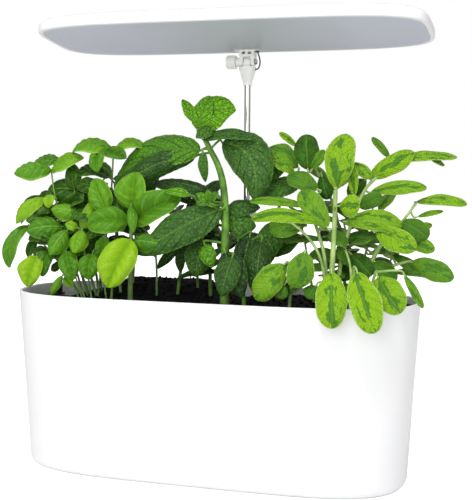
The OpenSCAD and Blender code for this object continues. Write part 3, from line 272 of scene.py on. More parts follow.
def leaf_face(name, tones, vein_and_crease_shade, vein_show, net_show, veins, slant, wrinkle_mm, relief_mm, roughness,
              patch=None, rim_colour=None, midrib="#98C060", gloss=0.2):
    """Leaf surface: colour by the leaf's tone, which holds its own tone and painted shade where the leaf lies
    in shade; side veins that run forward from a pale midrib and a net of wrinkles between them, both in the
    vein colour, which where it is dark is painted shade in sunken veins and creases; dark patches in the
    middle of a variegated leaf and a pale rim."""
    made, tree, shader = new_material(name, IOR=1.42, Roughness=roughness, Specular_IOR_Level=gloss)
    coords = add(tree, "ShaderNodeTexCoord")
    split = add(tree, "ShaderNodeSeparateXYZ", links={"Vector": coords.outputs["UV"]})
    tone_and_shade = add(tree, "ShaderNodeAttribute", attribute_name="tone_and_shade")
    centred = add(tree, "ShaderNodeMath", {1: 0.5}, {0: split.outputs["Y"]}, operation="SUBTRACT")
    across = add(tree, "ShaderNodeMath", {1: 0.0}, {0: centred.outputs[0]}, operation="ABSOLUTE")
    curved = add(tree, "ShaderNodeMath", {1: 1.3}, {0: across.outputs[0]}, operation="POWER")
    lean = add(tree, "ShaderNodeMath", {1: slant * 1.23}, {0: curved.outputs[0]}, operation="MULTIPLY")
    along = add(tree, "ShaderNodeMath", {1: float(veins)}, {0: split.outputs["X"]}, operation="MULTIPLY")
    phase = add(tree, "ShaderNodeMath", links={0: along.outputs[0], 1: lean.outputs[0]},
                operation="SUBTRACT")
    turn = add(tree, "ShaderNodeMath", {1: 2 * math.pi}, {0: phase.outputs[0]}, operation="MULTIPLY")
    wave = add(tree, "ShaderNodeMath", links={0: turn.outputs[0]}, operation="COSINE")
    side = add(tree, "ShaderNodeMapRange", {"From Min": 0.82, "From Max": 1.0}, {"Value": wave.outputs[0]})
    rib = add(tree, "ShaderNodeMapRange", {"From Min": 0.04, "From Max": 0.01}, {"Value": across.outputs[0]})
    lines = add(tree, "ShaderNodeMath", links={0: side.outputs["Result"], 1: rib.outputs["Result"]},
                operation="MAXIMUM")
    blotch = add(tree, "ShaderNodeTexNoise", {"Scale": grain(9), "Detail": 3.0},
                 {"Vector": coords.outputs["Object"]})
    spread = add(tree, "ShaderNodeMapRange", {"To Min": -0.16, "To Max": 0.16},
                 {"Value": blotch.outputs[0]})
    level = add(tree, "ShaderNodeMath", links={0: tone_and_shade.outputs["Fac"], 1: spread.outputs["Result"]},
                operation="ADD")
    ramp = add(tree, "ShaderNodeValToRGB", links={"Fac": level.outputs[0]})
    for stop, (position, shade) in enumerate(tones):
        if stop < 2:
            ramp.color_ramp.elements[stop].position = position
        else:
            ramp.color_ramp.elements.new(position)
        ramp.color_ramp.elements[stop].color = linear(shade)
    layers = []
    if patch:
        shift = add(tree, "ShaderNodeCombineXYZ", links={"X": tone_and_shade.outputs["Fac"]})
        moved = add(tree, "ShaderNodeVectorMath", {1: (37.0, 0.0, 0.0)}, {0: shift.outputs[0]},
                    operation="MULTIPLY")
        spot = add(tree, "ShaderNodeVectorMath", links={0: coords.outputs["UV"], 1: moved.outputs[0]},
                   operation="ADD")
        islands = add(tree, "ShaderNodeTexNoise", {"Scale": 3.3, "Detail": 4.0, "Roughness": 0.6},
                      {"Vector": spot.outputs[0]})
        middle = add(tree, "ShaderNodeMath", {1: -0.42}, {0: across.outputs[0]}, operation="MULTIPLY")
        inside = add(tree, "ShaderNodeMath", links={0: islands.outputs[0], 1: middle.outputs[0]},
                     operation="ADD")
        mask = add(tree, "ShaderNodeMapRange", {"From Min": 0.45, "From Max": 0.48, "To Max": 0.9},
                   {"Value": inside.outputs[0]})
        layers.append((mask, patch))
    if rim_colour:
        rim = add(tree, "ShaderNodeMapRange", {"From Min": 0.445, "From Max": 0.485, "To Max": 0.75},
                  {"Value": across.outputs[0]})
        pale = add(tree, "ShaderNodeMath", links={0: rim.outputs["Result"], 1: tone_and_shade.outputs["Fac"]},
                   operation="MULTIPLY")
        layers.append((pale, rim_colour))
    thin = add(tree, "ShaderNodeMath", {1: vein_show}, {0: lines.outputs[0]}, operation="MULTIPLY")
    wrinkles = add(tree, "ShaderNodeTexVoronoi", {"Scale": grain(wrinkle_mm)},
                   {"Vector": coords.outputs["Object"]}, feature="DISTANCE_TO_EDGE")
    swell = add(tree, "ShaderNodeMath", {1: 0.55}, {0: wrinkles.outputs["Distance"]}, operation="POWER")
    sunk = add(tree, "ShaderNodeMath", {1: 0.35}, {0: lines.outputs[0]}, operation="MULTIPLY")
    height = add(tree, "ShaderNodeMath", links={0: swell.outputs[0], 1: sunk.outputs[0]},
                 operation="SUBTRACT")
    add(tree, "ShaderNodeBump", {"Distance": relief_mm * MM}, {"Height": height.outputs[0]},
        onto=shader.inputs["Normal"])
    net = add(tree, "ShaderNodeMapRange", {"From Max": 0.16, "To Min": net_show, "To Max": 0.0},
              {"Value": wrinkles.outputs["Distance"]})
    ridge = add(tree, "ShaderNodeMath", {1: 0.35}, {0: rib.outputs["Result"]}, operation="MULTIPLY")
    colour = ramp.outputs["Color"]
    # A dark vein colour, as on the mint and sage faces, is painted shade in the sunken veins and the net of
    # creases
    for cover, paint in layers + [(thin, vein_and_crease_shade), (net, vein_and_crease_shade), (ridge, midrib)]:
        mix = add(tree, "ShaderNodeMix", {MIX_OVER: linear(paint)},
                  {MIX_BY: cover.outputs[0], MIX_BELOW: colour}, data_type="RGBA")
        colour = mix.outputs[MIX_OUT]
    tree.links.new(colour, shader.inputs["Base Color"])
    return made


def stalk(name, colour, shade):
    """Green stem: fine lengthwise ribs and a slight bloom."""
    made, tree, shader = new_material(name, Roughness=0.5, IOR=1.42)
    coords, _ = mottle(tree, shader, colour, shade, 12)
    mapping = add(tree, "ShaderNodeMapping", {"Scale": (1.0, 1.0, 0.12)},
                  {"Vector": coords.outputs["Object"]})
    ribs = add(tree, "ShaderNodeTexNoise", {"Scale": grain(1.2), "Detail": 3.0},
               {"Vector": mapping.outputs["Vector"]})
    add(tree, "ShaderNodeBump", {"Distance": 0.2 * MM}, {"Height": ribs.outputs[0]},
        onto=shader.inputs["Normal"])
    return made


# Basil: waxy and quilted; its colours run from deep green, painted shade for leaves inside the bush, to
# yellow-green young leaves
basil_top = leaf_face(
    "basil_leaf_face", ((0.0, "#163204"), (0.4, "#32640E"), (0.7, "#528A14"), (1.0, "#84AE16")), "#A6CE58",
    vein_show=0.14, net_show=0.04, veins=6, slant=3.0, wrinkle_mm=3.0, relief_mm=0.2, roughness=0.3,
    rim_colour="#98C44A", midrib="#86B44A")
basil_under = leaf_face(
    "basil_leaf_back", ((0.0, "#2C561A"), (0.5, "#5A8C30"), (1.0, "#9CC43E")), "#A9C67C",
    vein_show=0.3, net_show=0.1, veins=6, slant=3.0, wrinkle_mm=3.0, relief_mm=0.3, roughness=0.5)
# Mint: deep green and strongly wrinkled; its dark vein colour is painted shade in the sunken veins and
# creases between lighter cushions
mint_top = leaf_face(
    "mint_leaf_face", ((0.0, "#0C2204"), (0.25, "#406C22"), (0.6, "#4C8216"), (1.0, "#68AA02")), "#1C440C",
    vein_show=0.6, net_show=0.42, veins=8, slant=3.6, wrinkle_mm=4.2, relief_mm=1.3, roughness=0.36,
    rim_colour="#8ABC4C", midrib="#7CA648", gloss=0.35)
mint_under = leaf_face(
    "mint_leaf_back", ((0.0, "#1E461A"), (0.5, "#3E7030"), (1.0, "#74A438")), "#8DB07A",
    vein_show=0.35, net_show=0.2, veins=8, slant=3.6, wrinkle_mm=4.0, relief_mm=0.8, roughness=0.6)
# Variegated sage: pebbled and velvety, lime with grey-green islands; its darker vein colour is painted shade
# in the veins and the creases of the pebbling
sage_top = leaf_face(
    "sage_leaf_face", ((0.0, "#1E440A"), (0.4, "#5C8C22"), (0.7, "#80AC1E"), (1.0, "#8EBA10")), "#4E8420",
    vein_show=0.3, net_show=0.45, veins=9, slant=2.6, wrinkle_mm=2.1, relief_mm=0.9, roughness=0.45,
    patch="#3C6E22", rim_colour="#B6D07C", midrib="#7AA236")
sage_under = leaf_face(
    "sage_leaf_back", ((0.0, "#3F7030"), (0.5, "#7AA64E"), (1.0, "#AACA68")), "#C0D49C",
    vein_show=0.25, net_show=0.1, veins=9, slant=2.6, wrinkle_mm=1.9, relief_mm=0.5, roughness=0.7)
basil_stalk = stalk("basil_stem", "#86A860", "#4A7430")
mint_stalk = stalk("mint_stem", "#6E9E30", "#345E16")
sage_stalk = stalk("sage_stem", "#AEC67C", "#7C9E4C")

NODE_FINISH = {
    "outer_tub": gloss_abs, "lamp_shell": gloss_abs, "power_button": satin_abs,
    "pole_socket": satin_abs, "lower_post": satin_abs, "screw_collar": satin_abs,
    "pole_head": satin_abs, "tilt_knob": satin_abs, "lamp_bracket": satin_abs,
    "planting_basin": black_pp, "level_guide": black_pp, "dc_inlet": black_nylon,
    "collet": grey_acetal, "rod_guide": grey_acetal, "pole_lead": pvc_sheath,
    "lamp_lead": pvc_sheath, "lead_grommet": pvc_sheath, "level_stem": red_acrylic,
    "level_float": foam_epp, "friction_washers": fibre, "button_dome": silicone,
    "driver_board": solder_mask, "led_board": white_mask, "led_chips": phosphor,
    "steel_rod": stainless, "socket_screws": zinc, "hinge_bolt": zinc,
    "bracket_screws": zinc, "board_screws": zinc, "knob_insert": brass,
    "diffuser": frosted_sheet(), "wicks": felt(), "potting_mix": mix_peat,
    "basil": basil_top, "mint": mint_top, "sage": sage_top,
}
for node_name, finish in NODE_FINISH.items():
    node_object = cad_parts[node_name]
    node_object.data.materials.clear()
    node_object.data.materials.append(finish)


# ---------------------------------------------------------------- modelling: tools

def only(piece):
    """Makes piece the one selected and active object."""
    bpy.ops.object.select_all(action="DESELECT")
    piece.select_set(True)
    bpy.context.view_layer.objects.active = piece


def apply(piece, kind, **settings):
    """Adds a modifier and applies it."""
    only(piece)
    modifier = piece.modifiers.new(kind.lower(), kind)
    for key, value in settings.items():
        setattr(modifier, key, value)
    bpy.ops.object.modifier_apply(modifier=modifier.name)


def joined(name, pieces):
    """Joins pieces into the first one and names it."""
    bpy.ops.object.select_all(action="DESELECT")
    for piece in pieces:
        piece.select_set(True)
    bpy.context.view_layer.objects.active = pieces[0]
    bpy.ops.object.join()
    pieces[0].name = name
    pieces[0].data.name = name
    return pieces[0]


def finished(piece, body, slot, *nodes):
    """Puts piece on its body in place of CAD nodes."""
    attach(piece, body)
    if nodes:
        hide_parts(*nodes)


def smooth(piece, degrees):
    """Smooth shading with creases sharper than the angle kept."""
    only(piece)
    bpy.ops.object.shade_smooth_by_angle(angle=math.radians(degrees))


def oval(power_x, power_y, points):
    """Points of a rounded outline that reaches 1 on both axes; higher powers make it squarer."""
    turns = np.linspace(0, 2 * math.pi, points, endpoint=False)
    c, s = np.cos(turns), np.sin(turns)
    x = np.sign(c) * np.abs(c) ** (2 / power_x)
    y = np.sign(s) * np.abs(s) ** (2 / power_y)
    return np.stack([x, y], axis=1)


# ---------------------------------------------------------------- tub and lamp

# Powers of the two outlines along X and Y, and the points on each of their rings
TUB_POWER = (4.4, 2.4)
LAMP_POWER = (4.8, 4.4)
RING_POINTS = 224


def arc(start, end, steps):
    """Angles from start to end in degrees, as (cos, sin)."""
    return [(math.cos(math.radians(start + (end - start) * i / steps)),
             math.sin(math.radians(start + (end - start) * i / steps))) for i in range(steps + 1)]


def lofted(name, profile, powers):
    """Shell skinned over rings of a rounded outline, closed at its first and last ring."""
    bpy.ops.object.select_all(action="DESELECT")
    bpy.ops.mesh.primitive_circle_add(vertices=RING_POINTS, radius=1.0, fill_type="NOTHING")
    piece = bpy.context.object
    piece.name = name
    first = profile[0]
    for vertex, (x, y) in zip(piece.data.vertices, oval(*powers, RING_POINTS)):
        vertex.co = (x * first[0], y * first[1], first[2])
    bpy.ops.object.mode_set(mode="EDIT")
    bpy.ops.mesh.select_mode(type="EDGE")
    bpy.ops.mesh.select_all(action="SELECT")
    previous = first
    for step in profile[1:]:
        bpy.ops.mesh.extrude_edges_move()
        bpy.ops.transform.resize(value=(step[0] / previous[0], step[1] / previous[1], 1),
                                 center_override=(0, 0, previous[2]))
        bpy.ops.transform.translate(value=(0, 0, step[2] - previous[2]))
        previous = step
    bpy.ops.mesh.edge_face_add()
    bpy.ops.mesh.select_all(action="DESELECT")
    bpy.ops.mesh.select_non_manifold()
    bpy.ops.mesh.edge_face_add()
    bpy.ops.mesh.select_all(action="SELECT")
    bpy.ops.mesh.normals_make_consistent(inside=False)
    bpy.ops.object.mode_set(mode="OBJECT")
    return piece


def make_tub():
    """Outer tub: drafted wall, rounded foot, rolled rim and an inner wall down to the floor."""
    half_x, half_y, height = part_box("outer_tub")[1]
    draft_x, draft_y = 10 * MM, 9 * MM
    wall, floor, foot, rim = 3 * MM, 3 * MM, 8 * MM, 1.2 * MM

    def step(z, inset):
        lean = 1 - z / height
        return (half_x - draft_x * lean - inset, half_y - draft_y * lean - inset, z)

    inner_foot = foot - wall
    profile = [step(foot * (1 - c), foot * (1 - s)) for c, s in arc(0, 90, 9)]
    profile += [step(foot + (height - rim - foot) * i / 6, 0) for i in range(1, 7)]
    profile += [step(height - rim + rim * s, rim * (1 - c)) for c, s in arc(15, 90, 5)]
    profile += [step(height - rim + rim * s, wall - rim * (1 - c)) for c, s in arc(90, 0, 5)]
    profile += [step(floor + inner_foot + (height - rim - floor - inner_foot) * (1 - i / 5), wall)
                for i in range(1, 5)]
    profile += [step(floor + inner_foot * (1 - c), wall + inner_foot * (1 - s)) for c, s in arc(90, 0, 6)]
    tub = lofted("tub", profile, TUB_POWER)
    tub.data.materials.append(gloss_abs)
    smooth(tub, 50)
    finished(tub, "tub", "tub_white", "outer_tub")


make_tub()

TILT = math.radians(8)
HINGE = Vector((16 * MM, 56 * MM, 403.5 * MM))
LAMP_PLACE = Matrix.Translation(HINGE) @ Matrix.Rotation(-TILT, 4, "X")
LAMP_MIDDLE = -56 * MM


def make_lamp_shell():
    """Lamp shell: crowned top, rounded lower edge, lip and the ledge that the diffuser seats on."""
    half_x, half_y = 190 * MM, 62 * MM
    under, top = 10.5 * MM, 25.5 * MM
    roof = top - 2.4 * MM
    lip, ledge, edge, seat = 4 * MM, 2.4 * MM, 1.2 * MM, 2 * MM
    inside = lip + ledge
    crown_in, crown_h = 20 * MM, 9 * MM

    def step(z, inset):
        return (half_x - inset, half_y - inset, z)

    profile = [step(roof, inside + 8 * MM), step(roof - 1.2 * MM, inside + 3 * MM),
               step(roof - 4 * MM, inside), step(under + seat, inside),
               step(under + seat, lip), step(under, lip), step(under, edge)]
    profile += [step(under + edge * (1 - c), edge * (1 - s)) for c, s in arc(0, 90, 5)[1:]]
    profile += [step(top - crown_h * (1 - s), crown_in * (1 - c)) for c, s in arc(0, 86, 14)]
    shell = lofted("lamp_case", profile, LAMP_POWER)
    shell.data.transform(Matrix.Translation((0, LAMP_MIDDLE, 0)))
    shell.data.transform(LAMP_PLACE)
    shell.data.materials.append(gloss_abs)
    smooth(shell, 50)
    return shell


def make_pad():
    """Solid pad in the shell over the bracket, with softened edges."""
    half, front, back = 13.6 * MM, -9 * MM, 3.6 * MM
    low, high = 10.5 * MM, 18.5 * MM
    bpy.ops.object.select_all(action="DESELECT")
    bpy.ops.mesh.primitive_cube_add(size=1.0)
    pad = bpy.context.object
    pad.data.transform(Matrix.Diagonal((2 * half, back - front, high - low, 1)))
    pad.data.transform(Matrix.Translation((0, (front + back) / 2, (low + high) / 2)))
    apply(pad, "BEVEL", width=0.4 * MM, segments=3)
    pad.data.transform(LAMP_PLACE)
    pad.data.materials.append(gloss_abs)
    return pad


lamp_case = joined("lamp_case", [make_lamp_shell(), make_pad()])
finished(lamp_case, "lamp", "lamp_white", "lamp_shell")


def make_lead():
    """Lead across the tilt joint: leaves the pole head, loops up and enters the lamp by its grommet.
    Its route is in millimetres."""
    low = Vector((24.7, 56, 395.6))
    route = [low + Vector(v) for v in ((-4, 0, 0), (0, 0, 0), (1.6, 0, 0.5), (3.2, 0, 2.2), (4.1, 0, 5),
                                       (4.2, 0.3, 8), (3.6, 0.7, 11))]
    top = LAMP_PLACE @ Vector((9.8 * MM, 0, 10.5 * MM)) / MM
    route += [top + Vector((1.4, -0.5, -3.6)), top + Vector((0.3, -0.2, -1.6)), top,
              LAMP_PLACE @ Vector((9.8 * MM, 0, 18.5 * MM)) / MM]
    data = bpy.data.curves.new("tilt_lead", "CURVE")
    data.dimensions = "3D"
    data.bevel_depth = 0.7 * MM
    data.bevel_resolution = 4
    data.use_fill_caps = True
    spline = data.splines.new("NURBS")
    spline.points.add(len(route) - 1)
    for point, place in zip(spline.points, route):
        point.co = (*(place * MM), 1)
    spline.use_endpoint_u = True
    spline.order_u = 4
    spline.resolution_u = 8
    lead = bpy.data.objects.new("tilt_lead", data)
    scene.collection.objects.link(lead)
    only(lead)
    bpy.ops.object.convert(target="MESH")
    lead = bpy.context.object
    lead.data.materials.clear()
    lead.data.materials.append(pvc_sheath)
    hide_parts("lamp_lead")
    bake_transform(lead)


make_lead()


# ---------------------------------------------------------------- potting mix

def make_mix():
    """Surface of the mix: an uneven crust a few millimetres deep, heaped along the back between basil
    and pole, with loose crumbs of bark."""
    low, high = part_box("potting_mix")
    half_x, half_y, left, top = high[0], high[1], low[0], high[2]
    heap_x, heap_half, heap_high = -68 * MM, 66 * MM, 14 * MM
    cell, crust_thick, pole_gap, crumbs = 2 * MM, 2 * MM, 8.3 * MM, 419
    pole = Vector((HINGE.x, HINGE.y))

    def fade(amount):
        amount = min(max(amount, 0), 1)
        return amount * amount * (3 - 2 * amount)

    def edge(x, y):
        return (abs(x) / half_x) ** TUB_POWER[0] + (abs(y) / half_y) ** TUB_POWER[1]

    def heap(x, y):
        across = fade((1 - abs(x - heap_x) / heap_half) * 2.5)
        return heap_high * across * fade((y + 20 * MM) / (65 * MM)) * fade((1 - edge(x, y)) * 5)

    def outside(x, y):
        return edge(x, y) > 0.995 or x < left or (Vector((x, y)) - pole).length < pole_gap

    bpy.ops.object.select_all(action="DESELECT")
    bpy.ops.mesh.primitive_grid_add(x_subdivisions=round(2 * half_x / cell), size=1.0,
                                    y_subdivisions=round(2 * half_y / cell), calc_uvs=False)
    crust = bpy.context.object
    crust.data.transform(Matrix.Diagonal((2 * half_x, 2 * half_y, 1, 1)))
    only(crust)
    bpy.ops.object.mode_set(mode="EDIT")
    bpy.ops.mesh.select_all(action="DESELECT")
    bpy.ops.object.mode_set(mode="OBJECT")
    for vertex in crust.data.vertices:
        vertex.select = outside(vertex.co.x, vertex.co.y)
    bpy.ops.object.mode_set(mode="EDIT")
    bpy.ops.mesh.delete(type="VERT")
    bpy.ops.object.mode_set(mode="OBJECT")
    for vertex in crust.data.vertices:
        place = vertex.co * grain(7)
        lumps = noise.fractal(place, 0.8, 2.0, 4)
        vertex.co.z = top + heap(vertex.co.x, vertex.co.y) + (0.6 + 1.1 * lumps) * MM
    apply(crust, "SOLIDIFY", thickness=crust_thick, offset=-1)
    crust.data.materials.append(mix_peat)
    smooth(crust, 70)

    rng = random.Random(4)
    bpy.ops.object.select_all(action="DESELECT")
    bpy.ops.mesh.primitive_ico_sphere_add(subdivisions=1, radius=1.0)
    crumb = bpy.context.object
    pieces = [crust]
    while len(pieces) <= crumbs:
        x, y = rng.uniform(left, half_x), rng.uniform(-half_y, half_y)
        if outside(x * 1.02, y * 1.03):
            continue
        mesh = crumb.data.copy()
        size = [rng.uniform(0.6, 2.2) * MM for _ in range(3)]
        for vertex in mesh.vertices:
            vertex.co *= rng.uniform(0.75, 1.15)
        turn = Matrix.Rotation(rng.uniform(0, 3), 4, "Z") @ Matrix.Rotation(rng.uniform(-0.6, 0.6), 4, "X")
        place = Matrix.Translation((x, y, top + heap(x, y) + 1.1 * MM))
        mesh.transform(place @ turn @ Matrix.Diagonal((*size, 1)))
        mesh.materials.append(mix_bark)
        bit = bpy.data.objects.new("crumb", mesh)
        scene.collection.objects.link(bit)
        pieces.append(bit)
    bpy.data.objects.remove(crumb)
    finished(joined("mix_surface", pieces), "tub", "potting_mix")


make_mix()


# ---------------------------------------------------------------- herbs: tools

# The herbs are drawn on a sheet square to the line of sight, at this distance and scale
SHEET_AWAY = 1.0231
SHEET_SCALE = 0.948 * MM
SHEET_X, SHEET_Z = 5.8, 209.3


def seen(x, z, depth):
    """Point at a depth behind the tub's middle plane that the camera sees at (x, z) on the sheet."""
    right, up, back = scene.camera.matrix_world.to_3x3().transposed()
    sight = right * (x - SHEET_X) * SHEET_SCALE + up * (z - SHEET_Z) * SHEET_SCALE - back * SHEET_AWAY
    return EYE + sight * (depth * MM - EYE.y) / sight.y


# Each kind of leaf: how its outline opens at the stalk and closes at the tip, teeth along the edge,
# veins a side and their slant, quilt depth, fold at the midrib, droop of the edges, thickness in mm
FORM = {
    "basil": dict(open=0.55, close=0.66, teeth=0, veins=6, slant=1.5, quilt=0.08, fold=0.4, droop=0.46,
                  thick=0.5),
    "mint": dict(open=0.50, close=0.74, teeth=13, veins=8, slant=1.9, quilt=0.06, fold=0.14, droop=0.2,
                 thick=0.5),
    "sage": dict(open=0.58, close=0.48, teeth=0, veins=9, slant=1.5, quilt=0.015, fold=0.12, droop=0.18,
                 thick=0.8),
}
# Drawn leaves face the front, turned this share to the right, where the camera stands
SIDE_TURN = 0.12
# Cells along and across a blade with a toothed edge, with a smooth edge, and one that is small or hidden
TOOTHED_CELLS, SMOOTH_CELLS, SMALL_CELLS = (39, 14), (34, 14), (14, 8)
# A drawn leaf no wider than this counts as small
NARROW = 13 * MM
# Loose leaves farther than this from every stem are left out
STEM_REACH = 22 * MM
# A leaf's stalk starts no higher than this above the leaf and runs straight into it over this length
STALK_ABOVE, STALK_STRAIGHT = 6 * MM, 6 * MM


def blade_grid(along, across):
    """Flat blade of unit size to be copied, with UVs along and across it."""
    bpy.ops.object.select_all(action="DESELECT")
    bpy.ops.mesh.primitive_grid_add(x_subdivisions=along, y_subdivisions=across, size=1.0, calc_uvs=True)
    grid = bpy.context.object
    grid.name = "blade"
    return grid


def outline(form, u):
    """Half-width of the blade along its length, 1 at its widest."""
    widest = form["open"] / (form["open"] + form["close"])
    peak = widest ** form["open"] * (1 - widest) ** form["close"]
    half = u ** form["open"] * (1 - u) ** form["close"] / peak
    if form["teeth"]:
        half = half * (0.97 + 0.05 * (1 - (u * form["teeth"]) % 1))
    return half


def shape_blade(form, flat, base, tip, width, facing, arch, bend, twist, rng):
    """Places the points of a flat unit blade along a curved midrib from base to tip."""
    u = 0.5 - 0.5 * np.cos(math.pi * np.clip(flat[:, 0] + 0.5, 0, 1))
    s = flat[:, 1] * 2
    chord = tip - base
    along = chord.normalized()
    normal = (facing - along * facing.dot(along)).normalized()
    sideways = normal.cross(along)
    control = (base + tip) / 2 + normal * 2 * arch + sideways * 2 * bend
    b, c, t = (np.array(p)[None, :] for p in (base, control, tip))
    uu = u[:, None]
    mid = b * (1 - uu) ** 2 + 2 * c * uu * (1 - uu) + t * uu ** 2
    tangent = 2 * (1 - uu) * (c - b) + 2 * uu * (t - c)
    tangent /= np.linalg.norm(tangent, axis=1, keepdims=True)
    n0 = np.array(normal)[None, :]
    up = n0 - tangent * np.sum(n0 * tangent, axis=1, keepdims=True)
    up /= np.linalg.norm(up, axis=1, keepdims=True)
    side = np.cross(up, tangent)
    roll = twist * (uu - 0.3)
    up, side = up * np.cos(roll) + side * np.sin(roll), side * np.cos(roll) - up * np.sin(roll)
    broad = outline(form, u)
    broad = broad * (1 + rng.uniform(-0.12, 0.12) * np.sign(s) * np.sin(math.pi * u))
    broad = broad * (1 + 0.035 * np.sin(u * 11 + rng.uniform(0, 6) + 2 * np.sign(s)))
    half = np.maximum(width / 2 * broad, 0.02 * width * (1 - u) + 1e-5)
    out = np.abs(s)
    phase = u * form["veins"] - out ** 1.3 * form["slant"]
    quilts = (0.5 - 0.5 * np.cos(2 * math.pi * phase)) * (1 - out ** 4) * np.minimum(out * 5, 1)
    fold = form["fold"] * rng.uniform(0.3, 1.5)
    droop = form["droop"] * rng.uniform(0.6, 1.3)
    ripple = 0.035 * np.sin(u * rng.uniform(7, 12) + rng.uniform(0, 6) + 1.7 * np.sign(s)) * out ** 2
    lift = width * broad * (fold * out - droop * out ** 2.6 + form["quilt"] * quilts + ripple)
    lift -= width * rng.uniform(0.0, 0.12) * u ** 4
    return mid + side * (s * half)[:, None] + up * lift[:, None]


def tube(name, routes, finish):
    """One mesh of tapered stems; a route is a list of (point, radius)."""
    data = bpy.data.curves.new(name, "CURVE")
    data.dimensions = "3D"
    data.bevel_depth = 1.0
    data.bevel_resolution = 2
    data.use_fill_caps = True
    for route in routes:
        spline = data.splines.new("NURBS")
        spline.points.add(len(route) - 1)
        for point, (place, radius) in zip(spline.points, route):
            point.co = (*place, 1)
            point.radius = radius
        spline.use_endpoint_u = True
        spline.order_u = min(3, len(route))
        spline.resolution_u = 5
    stems = bpy.data.objects.new(name, data)
    scene.collection.objects.link(stems)
    only(stems)
    bpy.ops.object.convert(target="MESH")
    stems = bpy.context.object
    stems.data.materials.clear()
    stems.data.materials.append(finish)
    smooth(stems, 60)
    return stems


def stem_samples(routes):
    """Points along stems, for leaf stalks to start from."""
    samples = []
    for route in routes:
        for (p, _), (q, _) in zip(route, route[1:]):
            samples += [p.lerp(q, i / 8) for i in range(9)]
    return samples


def drawn_blades(leaves):
    """Blades of the leaves drawn on the front view: foot, tip, width, upturn, arch, tone with painted shade
    on shaded leaves, bend.
    """
    blades = []
    for foot, tip, width, upturn, arch, tone_and_shade, *bend in leaves:
        turn = math.radians(upturn)
        facing = Vector((SIDE_TURN * math.cos(turn), -math.cos(turn), math.sin(turn)))
        blades.append((seen(*foot), seen(*tip), width * MM, facing, arch * MM, sum(bend) * MM, tone_and_shade))
    return blades


def sprig(base, top, spin, length, width, tone_and_shade, rng):
    """Crosswise pairs of leaves up a stem from base to top, each pair turned a quarter from the last."""
    blades = []
    for pair in range(3):
        for side in (0, 180):
            at = base.lerp(top, 1 - 0.22 * pair)
            yaw = math.radians(spin + 90 * pair + side + rng.uniform(-8, 8))
            rise = math.radians(45 - 22 * pair + rng.uniform(-5, 5))
            reach = length * (0.8 if pair == 0 else 1) * rng.uniform(0.95, 1.05)
            away = Vector((math.cos(yaw), math.sin(yaw), 0))
            out = away * math.cos(rise) + Vector((0, 0, math.sin(rise)))
            foot = at + out * 6 * MM
            blades.append((foot, foot + (out * reach - Vector((0, 0, 6))) * MM, width * reach / length * MM,
                           away * 0.5 + Vector((0, -0.3, 0.8)), 4 * MM, 0.0, tone_and_shade + rng.uniform(-0.15, 0.15)))
    return blades


def thicket(middle, spread, count, length, width, tone_and_shade, rng):
    """Loose inner leaves round a middle, facing outward and up."""
    blades = []
    for _ in range(count):
        yaw, height = rng.uniform(0, 2 * math.pi), rng.uniform(-1, 1)
        flat = math.sqrt(1 - height * height)
        out = Vector((math.cos(yaw) * flat, math.sin(yaw) * flat, height))
        foot = Vector([(m + s * o * rng.uniform(0.2, 1.0)) * MM for m, s, o in zip(middle, spread, out)])
        lean = Vector((out.x, out.y, rng.uniform(-0.7, 0.3))).normalized()
        reach = length * rng.uniform(0.7, 1.15)
        blades.append((foot, foot + lean * reach * MM, width * reach / length * MM,
                       Vector((out.x, out.y - 0.8, 0.7)), 3 * MM, rng.uniform(-3, 3) * MM,
                       tone_and_shade + rng.uniform(-0.2, 0.25)))
    return blades


def column(node, margin, rise):
    """Column kept free round an upright node: axis x and y, radius, top. Margin and rise are in mm."""
    low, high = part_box(node)
    radius = max(high[0] - low[0], high[1] - low[1]) / 2 + margin * MM
    return (low[0] + high[0]) / 2, (low[1] + high[1]) / 2, radius, high[2] + rise * MM


# Room for the float's stem at its full rise and for the lower post
KEEP_FREE = (column("level_stem", margin=3, rise=42), column("lower_post", margin=5, rise=12))
SOIL_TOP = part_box("potting_mix")[1][2]


def stands_free(blade):
    """True where a blade and the last of its stalk stay out of the columns."""
    foot, tip, width = blade[:3]
    for x, y, radius, top in KEEP_FREE:
        for step in range(-2, 9):
            point = foot + (tip - foot) * step / 8
            room = radius + (width / 2 if 0 < step < 8 else 2 * MM)
            if point.z < top and math.hypot(point.x - x, point.y - y) < room:
                return False
    return True


